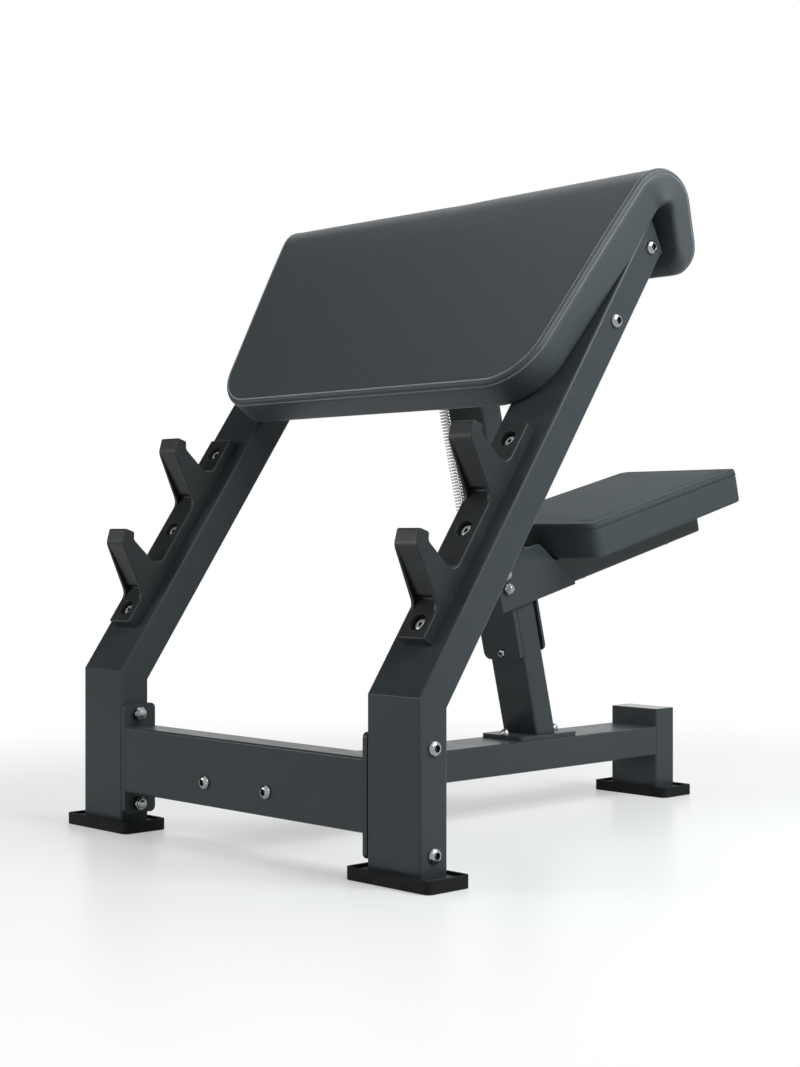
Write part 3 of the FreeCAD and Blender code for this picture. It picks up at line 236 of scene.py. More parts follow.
def moulded(name, colour, low, high, grain, gloss=0.42):
    """Moulded plastic or rubber: fine spark grain with slightly uneven gloss."""
    plastic = Shader(name)
    return plastic.done(Base_Color=plastic.mottle(18.0, colour, 0.85, 1.15),
                        Roughness=plastic.patches(40.0, low, high),
                        Normal=plastic.bump(plastic.noise(grain, 2.0), 0.25, 0.0003),
                        Specular_IOR_Level=gloss)


def plated(name, colour, low, high, metallic=1.0):
    """Bright plated steel with faint drawn lines and a few duller spots."""
    steel = Shader(name)
    lines = steel.noise(1.0, 3.0, place=steel.stretched((2200.0, 2200.0, 260.0)))
    return steel.done(Base_Color=steel.mottle(160.0, colour, 0.82, 1.0),
                      Roughness=steel.patches(420.0, low, high, 3.0),
                      Normal=steel.bump(lines, 0.1, 0.0001), Metallic=metallic)


def plywood(name):
    """Sanded ply: long grain lines in three browns."""
    wood = Shader(name)
    grain = wood.noise(1.0, 6.0, 0.6, wood.stretched((14.0, 220.0, 220.0)))
    browns = [(0.3, (0.24, 0.15, 0.08)), (0.55, (0.42, 0.3, 0.18)), (0.75, (0.5, 0.37, 0.23))]
    return wood.done(Base_Color=wood.ramp(grain, browns), Roughness=wood.span(grain, 0.55, 0.75),
                     Normal=wood.bump(grain, 0.2, 0.0004))


GRAPHITE = (0.029, 0.036, 0.0395)
COVER = (0.026, 0.0335, 0.038)
# Seat colour: the pad's cover made lighter and greener, as painted light for how the seat top is lit
SEAT_PAINTED_LIGHT_TONE = (0.0385, 0.0495, 0.053)
MOULDING = (0.0095, 0.0118, 0.0132)
RUBBER = (0.006, 0.0065, 0.007)
CAP = (0.035, 0.039, 0.041)
LINER = (0.02, 0.02, 0.02)
# Colour of the painted shade in the bolt sockets
PAINTED_SOCKET_SHADE_TONE = (0.02, 0.02, 0.021)
PLATE = (0.34, 0.35, 0.355)
SPRING = (0.58, 0.585, 0.59)
ZINC = (0.6, 0.61, 0.61)
GREY_YARN = (0.2, 0.215, 0.222)
DARK_YARN = (0.03, 0.033, 0.035)
materials = {
    "frame_paint": powder_coat("satin_powder_coat", GRAPHITE, rough=0.33),
    "pad_leather": grained_cover("grained_cover", COVER, low=0.44, high=0.54, gloss=0.38, sheen=0.06),
    "catch_plastic": moulded("moulded_plastic", MOULDING, low=0.38, high=0.5, grain=1500.0, gloss=0.28),
    "boot_rubber": moulded("rubber", RUBBER, low=0.68, high=0.82, grain=1100.0, gloss=0.15),
    "bright_steel": plated("bright_plate", PLATE, low=0.12, high=0.22),
    "cap_plastic": moulded("cap_plastic", CAP, low=0.1, high=0.16, grain=1700.0),
    "liner_plastic": moulded("liner_plastic", LINER, low=0.4, high=0.55, grain=900.0),
    "board_ply": plywood("sanded_ply"),
}
# The arm pad's upholstery again, with less gloss and a lighter, greener colour; the colour is painted light
# for how the seat top is lit
seat_cover_painted_light = grained_cover("seat_cover_painted_light", SEAT_PAINTED_LIGHT_TONE, low=0.6, high=0.7, gloss=0.14, sheen=0.0)
grey_thread = moulded("grey_thread", GREY_YARN, low=0.4, high=0.55, grain=3000.0)
spring_steel = plated("spring_steel", SPRING, low=0.16, high=0.26)
screw_zinc = plated("screw_zinc", ZINC, low=0.28, high=0.4, metallic=0.55)
# Painted shade: a near-black material laid on the deepest faces of the bolt sockets, where shade falls
painted_socket_shade = moulded("painted_socket_shade", PAINTED_SOCKET_SHADE_TONE, low=0.45, high=0.6, grain=1500.0)
dark_thread = moulded("dark_thread", DARK_YARN, low=0.35, high=0.5, grain=3000.0)


# Carried-over solids: finishes and softly broken edges

PLAIN_EDGE = 0.7
BOOT_EDGE = 1.4
BOOTS = ("left_foot_boot", "right_foot_boot", "rear_foot_boot")
EDGE_SEGMENTS = 2
EDGE_ANGLE = math.radians(32)
SAME_POINT = 0.00001


def break_edges(item, width):
    """Join the solid's split corners and chamfer its sharp edges, so that they catch light."""
    weld = item.modifiers.new("join_corners", "WELD")
    weld.merge_threshold = SAME_POINT
    edge = item.modifiers.new("broken_edges", "BEVEL")
    edge.width = width * MM
    edge.segments = EDGE_SEGMENTS
    edge.limit_method = "ANGLE"
    edge.angle_limit = EDGE_ANGLE
    normals = item.modifiers.new("even_normals", "WEIGHTED_NORMAL")
    normals.keep_sharp = False


for subpart in frame["record"]["subparts"]:
    item = nodes[subpart["node"]]
    item.data.materials.clear()
    item.data.materials.append(materials[subpart["material_slot"]])


# Meshes

ROUND_STEPS = 48
PLAIN_SMOOTH = 35
ROUND_SMOOTH = 60
COVER_SMOOTH = 180
FASTENER_SMOOTH = 28


def make_piece(name, points, faces, material, smooth_angle=PLAIN_SMOOTH):
    """Object from points and faces, shaded smooth across edges below an angle in degrees."""
    mesh = bpy.data.meshes.new(name)
    mesh.from_pydata([tuple(point) for point in points], [], faces)
    mesh.polygons.foreach_set("use_smooth", [True] * len(mesh.polygons))
    mesh.set_sharp_from_angle(angle=math.radians(smooth_angle))
    mesh.materials.append(material)
    mesh.update()
    piece = bpy.data.objects.new(name, mesh)
    scene.collection.objects.link(piece)
    return piece


def skin(rings, points, faces, closed_start=True, closed_end=True):
    """Add a stack of rings, each a list of as many points, with the faces between them and at the ends."""
    base = len(points)
    count = len(rings[0])
    for ring in rings:
        points.extend(ring)
    last = base + (len(rings) - 1) * count
    for low in range(base, last, count):
        high = low + count
        for turn in range(count):
            following = (turn + 1) % count
            faces.append((low + turn, low + following, high + following, high + turn))
    if closed_start:
        faces.append(tuple(base + turn for turn in reversed(range(count))))
    if closed_end:
        faces.append(tuple(last + turn for turn in range(count)))


def circle(radius, height):
    return [(radius * math.cos(angle), radius * math.sin(angle), height) for angle in full_turn(ROUND_STEPS)]


def place_points(piece, points):
    piece.data.vertices.foreach_set("co", np.asarray(points, np.float32).ravel())
    piece.data.update()


def read_points(mesh):
    return np.array([vertex.co for vertex in mesh.vertices])


def read_normals(mesh):
    return np.array([vertex.normal for vertex in mesh.vertices])


# Cushions: sizes in millimetres, turns in degrees

FRONT_STEPS = (30.0, 18.0, 10.0, 5.5, 2.4)
BAND_TURNS = (15.0, 32.0, 45.0, 58.0, 75.0)
WALL_SHARES = (0.07, 0.2, 0.4, 0.6, 0.8, 0.93)
BACK_TURNS = (30.0, 60.0, 90.0)
RIM_SHARES = (0.03, 0.1, 0.2, 0.3, 0.4, 0.5, 0.6, 0.7, 0.8, 0.9, 1.0)


class Outline:
    """Closed outline of a cushion's cover in the plane of its face: x across, q along, in millimetres.

    Every point of a ring knows how it draws in when the ring is inset, so rings of any inset match.
    """

    def __init__(self, half_width, length, corner, far_corner, arc_steps, across_steps, along_steps):
        self.half_width = half_width
        rows = []

        def add_arc(sign, radius, centre, start, end, steps):
            for step in range(steps):
                angle = math.radians(start + (end - start) * step / steps)
                rows.append((0, sign, radius, centre, radius, math.cos(angle), math.sin(angle)))

        def add_across(far, radius, direction):
            for step in range(across_steps):
                share = direction * (2 * step / across_steps - 1)
                rows.append((1, share, radius, length if far else 0, 0, 0, -1 if far else 1))

        def add_along(sign, upward):
            low, high = corner, length - far_corner
            for step in range(along_steps):
                share = step / along_steps
                level = low + (high - low) * share if upward else high - (high - low) * share
                radius = corner + (far_corner - corner) * (level - low) / (high - low)
                rows.append((0, sign, radius, level, radius, -1, 0))

        far_centre = length - far_corner
        half = arc_steps // 2
        add_arc(-1, corner, corner, 225, 270, half)
        add_across(False, corner, 1)
        add_arc(1, corner, corner, 270, 180, 2 * half)
        add_along(1, True)
        add_arc(1, far_corner, far_centre, 180, 90, 2 * half)
        add_across(True, far_corner, -1)
        add_arc(-1, far_corner, far_centre, 90, 180, 2 * half)
        add_along(-1, False)
        add_arc(-1, corner, corner, 180, 225, half)
        self.rows = np.array(rows, float)
        self.count = len(rows)
        self.across = across_steps + 2 * half
        self.along = along_steps + 2 * half

    def ring(self, inset):
        straight, share, corner, level, radius, across, along = self.rows.T
        inset = spread(inset, self.count)
        reach = radius - inset
        on_end = straight == 1
        q = np.where(on_end, level + along * inset, level + reach * along)
        width = self.half_width(q)
        x = np.where(on_end, share * (width - corner), share * (width - corner - reach * across))
        return np.stack([x, q], 1)


def coons(bottom, right, top, left):
    """Grid of points between four border lines; bottom and top run the same way, and so do left and right."""
    u = np.linspace(0, 1, len(bottom))[None, :, None]
    v = np.linspace(0, 1, len(right))[:, None, None]
    edges = (1 - v) * bottom[None] + v * top[None] + (1 - u) * left[:, None] + u * right[:, None]
    low_corners = (1 - u) * (1 - v) * bottom[0] + u * (1 - v) * bottom[-1]
    return edges - (low_corners + (1 - u) * v * top[0] + u * v * top[-1])


class Cushion:
    """Closed cover built from rings: face, rolled band between two seams, wall, back rim and board recess."""

    def __init__(self, outline, place, thickness, band, drop, back_round, board_ring, board_depth):
        self.points = []
        self.faces = []
        self.outline = outline
        self.place = place
        count = outline.count
        band = spread(band, count)
        drop = spread(drop, count)
        back_round = spread(back_round, count)
        self.zones = []
        rings = []

        def add_ring(plan, depth, zone):
            start = len(self.points)
            self.points.extend(place(plan[:, 0], plan[:, 1], spread(depth, count)))
            self.zones.extend([zone] * count)
            rings.append(start)
            return start

        face_ring = outline.ring(band + FRONT_STEPS[0])
        for step in FRONT_STEPS:
            add_ring(outline.ring(band + step), 0, "face")
        self.face_seam = add_ring(outline.ring(band), 0, "seam")
        for angle in np.radians(BAND_TURNS):
            add_ring(outline.ring(band * (1 - math.sin(angle))), drop * (1 - math.cos(angle)), "band")
        plan = outline.ring(0)
        deep = thickness(plan[:, 1])
        self.wall_seam = add_ring(plan, drop, "seam")
        for share in WALL_SHARES:
            add_ring(plan, drop + (deep - back_round - drop) * share, "wall")
        add_ring(plan, deep - back_round, "back")
        for angle in np.radians(BACK_TURNS):
            plan = outline.ring(back_round * (1 - math.cos(angle)))
            add_ring(plan, thickness(plan[:, 1]) - back_round * (1 - math.sin(angle)), "back")
        rim = plan
        for share in RIM_SHARES:
            plan = rim + (board_ring - rim) * share
            add_ring(plan, thickness(plan[:, 1]), "back")
        floor_depth = thickness(board_ring[:, 1]) - board_depth
        add_ring(board_ring, floor_depth, "back")
        for before, after in zip(rings, rings[1:]):
            for index in range(count):
                following = (index + 1) % count
                self.faces.append((before + index, after + index, after + following, before + following))
        self.fill(face_ring, rings[0], np.zeros(count), "face", True)
        self.fill(board_ring, rings[-1], floor_depth, "back", False)

    def fill(self, plan, start, depth, zone, forward):
        """Grid inside a ring; the ring's own points are its border."""
        across, along, count = self.outline.across, self.outline.along, self.outline.count
        sides = np.arange(count + 1) % count
        bottom = sides[: across + 1]
        right = sides[across : across + along + 1]
        top = sides[across + along : 2 * across + along + 1][::-1]
        left = sides[2 * across + along :][::-1]
        flat = np.concatenate([plan, np.asarray(depth)[:, None]], 1)
        grid = coons(flat[bottom], flat[right], flat[top], flat[left])
        numbers = np.zeros(grid.shape[:2], int)
        numbers[0, :], numbers[-1, :] = start + bottom, start + top
        numbers[:, 0], numbers[:, -1] = start + left, start + right
        inner = grid[1:-1, 1:-1].reshape(-1, 3)
        first = len(self.points)
        self.points.extend(self.place(inner[:, 0], inner[:, 1], inner[:, 2]))
        self.zones.extend([zone] * len(inner))
        numbers[1:-1, 1:-1] = first + np.arange(len(inner)).reshape(along - 1, across - 1)
        for row in range(along):
            for column in range(across):
                corners = (*numbers[row, column : column + 2], *numbers[row + 1, column : column + 2][::-1])
                self.faces.append(tuple(int(number) for number in (corners if forward else corners[::-1])))


def board_ring(outline, half_width, low, high, inset):
    """Outline of the board's recess with as many points as a ring, side by side with it."""
    across = np.arange(outline.across) / outline.across
    along = np.arange(outline.along) / outline.along
    rising = low + (high - low) * along
    falling = high + (low - high) * along
    low_half, high_half = half_width(low) - inset, half_width(high) - inset
    return np.concatenate([
        np.stack([low_half * (2 * across - 1), np.full(len(across), low)], 1),
        np.stack([half_width(rising) - inset, rising], 1),
        np.stack([high_half * (1 - 2 * across), np.full(len(across), high)], 1),
        np.stack([inset - half_width(falling), falling], 1),
    ])


SWELL_CAPS = {"face": 4.0, "band": 0.9, "wall": 1.8, "seam": 0.0, "back": 0.0}
SWELL_FRAMES = 20
SWELL_SETTINGS = {
    "quality": 5,
    "mass": 0.3,
    "tension_stiffness": 25,
    "compression_stiffness": 25,
    "shear_stiffness": 10,
    "bending_stiffness": 2,
    "use_pressure": True,
    "uniform_pressure_force": 4,
    "vertex_group_mass": "held",
}


def swell(piece, zones):
    """Blow the cover up under pressure between its seams, then bring each panel's rise down to its cap."""
    rest = read_points(piece.data)
    held = piece.vertex_groups.new(name="held")
    held.add([index for index, zone in enumerate(zones) if zone in ("seam", "back")], 1.0, "REPLACE")
    cloth = piece.modifiers.new("swell", "CLOTH")
    for name, value in SWELL_SETTINGS.items():
        setattr(cloth.settings, name, value)
    cloth.settings.effector_weights.gravity = 0
    cloth.collision_settings.use_collision = False
    cloth.point_cache.frame_start = 1
    cloth.point_cache.frame_end = SWELL_FRAMES
    for number in range(1, SWELL_FRAMES + 1):
        scene.frame_set(number)
    blown_piece = piece.evaluated_get(bpy.context.evaluated_depsgraph_get())
    blown = read_points(blown_piece.to_mesh())
    blown_piece.to_mesh_clear()
    piece.modifiers.remove(cloth)
    piece.vertex_groups.remove(held)
    scene.frame_set(1)
    moves = blown - rest
    zones = np.array(zones)
    for zone, cap in SWELL_CAPS.items():
        chosen = zones == zone
        most = np.linalg.norm(moves[chosen], axis=1).max()
        if most > cap * MM:
            moves[chosen] *= cap * MM / most
    place_points(piece, rest + moves)


STITCH_PITCH = 3.5
STITCH_LONG = 2.4
STITCH_HALF_WIDE = 1.7
STITCH_RADIUS = 1.0
STITCH_LIFT = 0.85
STITCH_SIDES = 6
# Each ring of a stitch: its place along, its width, and how deep it sinks
STITCH_SHARES = ((-0.5, 0.45, 0.5), (-0.3, 1.0, 0.1), (0.3, 1.0, 0.1), (0.5, 0.45, 0.5))


def stitch_row(loop, normals, points, faces):
    """Short threads along a seam, each lying in its groove."""
    closed = np.vstack([loop, loop[:1]])
    closed_normals = np.vstack([normals, normals[:1]])
    along = np.concatenate([[0], np.cumsum(np.linalg.norm(np.diff(closed, axis=0), axis=1))])
    total = along[-1]

    def at(distance, values):
        return np.array([np.interp(distance, along, values[:, axis]) for axis in range(3)])

    number = int(total / (STITCH_PITCH * MM))
    for index in range(number):
        middle = (index + 0.5) * total / number
        ahead = unit(at(middle + MM, closed) - at(middle - MM, closed))
        out = at(middle, closed_normals)
        out = unit(out - ahead * out.dot(ahead))
        side = np.cross(ahead, out)
        centre = at(middle, closed) + out * STITCH_LIFT * MM
        rings = []
        for share, width, sink in STITCH_SHARES:
            place = centre + (ahead * share * STITCH_LONG - out * sink * STITCH_RADIUS) * MM
            spokes = [side * math.cos(angle) * STITCH_HALF_WIDE + out * math.sin(angle) * STITCH_RADIUS
                      for angle in full_turn(STITCH_SIDES)]
            rings.append([place + spoke * width * MM for spoke in spokes])
        skin(rings, points, faces)


def finish_cushion(name, cushion, body, node, seam_depth, cover, thread):
    """Turn a cushion's rings into a swollen piece with seams drawn into it and stitching along them."""
    piece = make_piece(name, cushion.points, cushion.faces, cover, COVER_SMOOTH)
    swell(piece, cushion.zones)
    count = cushion.outline.count
    seams = [slice(start, start + count) for start in (cushion.face_seam, cushion.wall_seam)]
    sewn = read_points(piece.data)
    normals = read_normals(piece.data)
    for seam in seams:
        sewn[seam] -= normals[seam] * seam_depth * MM
    place_points(piece, sewn)
    smooth = piece.modifiers.new("smooth", "SUBSURF")
    smooth.levels = 1
    smooth.render_levels = 1
    points, faces = [], []
    sewn = read_points(piece.data)
    normals = read_normals(piece.data)
    for seam in seams:
        stitch_row(sewn[seam], normals[seam], points, faces)
    stitching = make_piece(name + "_stitching", points, faces, thread, ROUND_SMOOTH)
    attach(piece, body)
    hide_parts(node)
    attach(stitching, body)


# Arm pad: sizes of its side view in the slope frame, in millimetres

PAD_LOW = 473.0
PAD_FACE = 347.0
PAD_BACK = 0.6
PAD_TOP_BACK = 7.0
PAD_BACK_RISE = 90.0
PAD_EDGE_LEVEL = 56.5
PAD_ROLL_LEVEL = 63.0
PAD_HALF_LOW = 334.5
PAD_FLARE_SHARE = 0.17
PAD_CORNER = 70.0
PAD_BAND = 6.5
PAD_DROP = 8.5
PAD_BACK_ROUND = 6.0
PAD_SEAM_DEPTH = 1.1
PAD_STEPS = {"arc_steps": 12, "across_steps": 84, "along_steps": 88}
ROLL_RADIUS = 62.0
ROLL_TURN = math.radians(125)
ROLL_LONG = ROLL_RADIUS * ROLL_TURN
TAIL_LONG = 100.0
TAIL_THICK = 46.0
TAIL_CORNER = 30.0
TAIL_BLEND = 45.0
TAIL_BAND = 18.0
TAIL_DROP = 20.0
TAIL_BACK_ROUND = 19.0
PAD_LENGTH = PAD_FACE + ROLL_LONG + TAIL_LONG
BOARD_INSET = 22.5
RECESS_LEVEL = 20.5
roll_reach = PAD_LOW + PAD_FACE
roll_level = PAD_ROLL_LEVEL - ROLL_RADIUS


def pad_line(q):
    """Front line of the pad at a distance q from its lower edge: reach, level, and the outward normal."""
    q = np.asarray(q, float)
    angle = np.clip((q - PAD_FACE) / ROLL_RADIUS, 0, ROLL_TURN)
    beyond = np.clip(q - PAD_FACE - ROLL_LONG, 0, None)
    face_level = PAD_EDGE_LEVEL + (PAD_ROLL_LEVEL - PAD_EDGE_LEVEL) * smoothstep(q / PAD_FACE)
    past_reach = roll_reach + ROLL_RADIUS * np.sin(angle) + beyond * math.cos(ROLL_TURN)
    past_level = roll_level + ROLL_RADIUS * np.cos(angle) - beyond * math.sin(ROLL_TURN)
    on_roll = q > PAD_FACE
    reach = np.where(on_roll, past_reach, PAD_LOW + q)
    level = np.where(on_roll, past_level, face_level)
    return reach, level, np.sin(angle), np.cos(angle)


def pad_half_width(q):
    return PAD_HALF_LOW + PAD_FLARE_SHARE * (pad_line(q)[0] - PAD_LOW)


def pad_back(q):
    """Level of the pad's back, which rises towards the roll."""
    rise = smoothstep((np.asarray(q) - PAD_FACE + PAD_BACK_RISE) / PAD_BACK_RISE)
    return PAD_BACK + (PAD_TOP_BACK - PAD_BACK) * rise


def pad_thickness(q):
    on_face = pad_line(q)[1] - pad_back(q)
    share = smoothstep((np.asarray(q) - PAD_FACE) / ROLL_LONG)
    thick = (PAD_ROLL_LEVEL - PAD_TOP_BACK) * (1 - share) + TAIL_THICK * share
    return np.where(np.asarray(q) > PAD_FACE, thick, on_face)


def pad_place(x, q, depth):
    reach, level, along, out = pad_line(q)
    points = np.stack([x, reach - depth * along, level - depth * out], 1) * MM
    return [tuple(point) for point in moved(SLOPE, points)]


pad_outline = Outline(pad_half_width, PAD_LENGTH, PAD_CORNER, TAIL_CORNER, **PAD_STEPS)
pad_recess = board_ring(pad_outline, pad_half_width, BOARD_INSET, PAD_FACE - BOARD_INSET, BOARD_INSET)
tail_share = smoothstep((pad_outline.ring(0)[:, 1] - (PAD_LENGTH - TAIL_BLEND)) / TAIL_BLEND)
pad_cushion = Cushion(
    pad_outline, pad_place, pad_thickness,
    band=PAD_BAND + (TAIL_BAND - PAD_BAND) * tail_share,
    drop=PAD_DROP + (TAIL_DROP - PAD_DROP) * tail_share,
    back_round=PAD_BACK_ROUND + (TAIL_BACK_ROUND - PAD_BACK_ROUND) * tail_share,
    board_ring=pad_recess, board_depth=RECESS_LEVEL - pad_back(pad_recess[:, 1]))
finish_cushion("arm_pad_cushion", pad_cushion, "frame", "arm_pad", PAD_SEAM_DEPTH,
               materials["pad_leather"], grey_thread)


# Seat: sizes in the post frame, in millimetres

SEAT_FRONT = 109.0
SEAT_LONG = 408.0
SEAT_FLOOR = 267.5
SEAT_TOP = 326.0
SEAT_HALF_FRONT = 136.0
SEAT_HALF_REAR = 128.0
SEAT_CORNER = 16.0
SEAT_REAR_CORNER = 12.0
SEAT_BAND = 3.2
SEAT_DROP = 8.5
SEAT_BACK_ROUND = 5.0
SEAT_SEAM_DEPTH = 1.2
SEAT_STEPS = {"arc_steps": 8, "across_steps": 44, "along_steps": 60}
SEAT_BOARD_INSET = 19.0
SEAT_BOARD_END = 381.0
SEAT_BOARD_DEPTH = 13.5


def seat_half_width(q):
    return SEAT_HALF_FRONT + (SEAT_HALF_REAR - SEAT_HALF_FRONT) * np.asarray(q, float) / SEAT_LONG


def seat_thickness(q):
    return np.full(np.shape(q), SEAT_TOP - SEAT_FLOOR)


def seat_place(x, q, depth):
    points = np.stack([x, SEAT_FRONT + q, SEAT_TOP - depth], 1) * MM
    return [tuple(point) for point in moved(POST, points)]


seat_outline = Outline(seat_half_width, SEAT_LONG, SEAT_CORNER, SEAT_REAR_CORNER, **SEAT_STEPS)
seat_recess = board_ring(seat_outline, seat_half_width, SEAT_BOARD_INSET, SEAT_BOARD_END, SEAT_BOARD_INSET)
seat_cushion = Cushion(seat_outline, seat_place, seat_thickness, SEAT_BAND, SEAT_DROP, SEAT_BACK_ROUND,
                       seat_recess, SEAT_BOARD_DEPTH)
finish_cushion("seat_cushion", seat_cushion, "seat_carriage", "seat_pad", SEAT_SEAM_DEPTH,
               seat_cover_painted_light, dark_thread)


# Bar catches, one moulding each with two ribbed hooks: sizes in the slope frame, in millimetres

CATCH_HALF = 25.0
CATCH_EDGE = 2.0
CATCH_START = 77.0
CATCH_END = 429.0
CATCH_BASE = 18.0
HOOK_STARTS = (124.0, 299.5)
HOOK_TAPER = 0.14
# Corners of a hook, along from its start and out from the base
FOOT = (2.98, 0.0)
BEND = (47.5, 76.4)
TIP = (70.3, 84.6)
LIP = (75.3, 67.0)
NOTCH = (64.9, 61.0)
VALLEY = (55.0, 0.0)
LEDGE = (15.5, 8.5)
FOOT_RADIUS = 18.0
BEND_RADIUS = 16.0
TIP_RADIUS = 3.5
NOTCH_RADIUS = 8.0
VALLEY_RADIUS = 14.0
LEDGE_RADIUS = 1.6
ARC_STEP = 9.0
ARC_LEAST_STEPS = 3
RIB_WIDE = 6.0
RIB_EDGE = 0.9
RIM_TURNS = (90.0, 67.5, 45.0, 22.5, 0.0)
BORES = (102.5, 252.5, 402.5)
BORE_MARGIN = 16.0
BORE_RADIUS = 12.7
BORE_RIM = 0.8
BORE_DEPTH = 11.0
BORE_TURNS = (0.0, 30.0, 60.0, 90.0)
Hook = namedtuple("Hook", "foot rib inner rest")


def corner_arc(before, here, after, radius):
    """Points of the arc that rounds a corner, from the line before it to the line after it."""
    before, here, after = (np.asarray(point, float) for point in (before, here, after))
    back, ahead = unit(before - here), unit(after - here)
    half = math.acos(float(np.clip(back @ ahead, -1, 1))) / 2
    centre = here + unit(back + ahead) * radius / math.sin(half)
    first = here + back * radius / math.tan(half) - centre
    last = here + ahead * radius / math.tan(half) - centre
    turn = math.atan2(first[0] * last[1] - first[1] * last[0], first @ last)
    steps = max(ARC_LEAST_STEPS, math.ceil(abs(math.degrees(turn)) / ARC_STEP))
    arc = []
    for step in range(steps + 1):
        angle = turn * step / steps
        cos, sin = math.cos(angle), math.sin(angle)
        arc.append(tuple(centre + (first[0] * cos - first[1] * sin, first[0] * sin + first[1] * cos)))
    return arc


def heading(start, end):
    return math.atan2(end[1] - start[1], end[0] - start[0])


def hook_lines(start):
    """Lines of one hook: rib front, recessed front between the ribs, and the rest from bend to valley."""
    foot, bend, tip, lip, notch, valley, ledge = (
        (start + along, CATCH_BASE + out) for along, out in (FOOT, BEND, TIP, LIP, NOTCH, VALLEY, LEDGE))
    below = (ledge[0], CATCH_BASE)
    rib = corner_arc((start - 1, CATCH_BASE), foot, bend, FOOT_RADIUS)
    rib += corner_arc(foot, bend, tip, BEND_RADIUS)
    turn_rib = heading(foot, bend) - heading(bend, tip)
    turn_inner = heading(ledge, bend) - heading(bend, tip)
    inner_radius = BEND_RADIUS * math.tan(turn_rib / 2) / math.tan(turn_inner / 2)
    inner = corner_arc(foot, below, ledge, LEDGE_RADIUS) + corner_arc(below, ledge, bend, LEDGE_RADIUS)
    inner += corner_arc(ledge, bend, tip, inner_radius)[:-1]
    rest = corner_arc(bend, tip, lip, TIP_RADIUS) + corner_arc(tip, lip, notch, TIP_RADIUS)
    rest += corner_arc(lip, notch, valley, NOTCH_RADIUS)
    rest += corner_arc(notch, valley, (CATCH_END, CATCH_BASE), VALLEY_RADIUS)
    return Hook(rib[0], rib[1:-1], inner, [rib[-1]] + rest)


def inset_loop(loop, amount):
    """Clockwise loop drawn inwards; its points on the leg's face stay on it."""
    loop = np.asarray(loop, float)
    ahead = unit(np.roll(loop, -1, 0) - loop)
    behind = np.roll(ahead, 1, 0)
    inward = unit(np.stack([ahead[:, 1] + behind[:, 1], -ahead[:, 0] - behind[:, 0]], 1))
    share = inward[:, 0] * ahead[:, 1] - inward[:, 1] * ahead[:, 0]
    result = loop + inward * (amount / np.clip(share, 0.5, 1))[:, None]
    result[loop[:, 1] == 0, 1] = 0
    return result


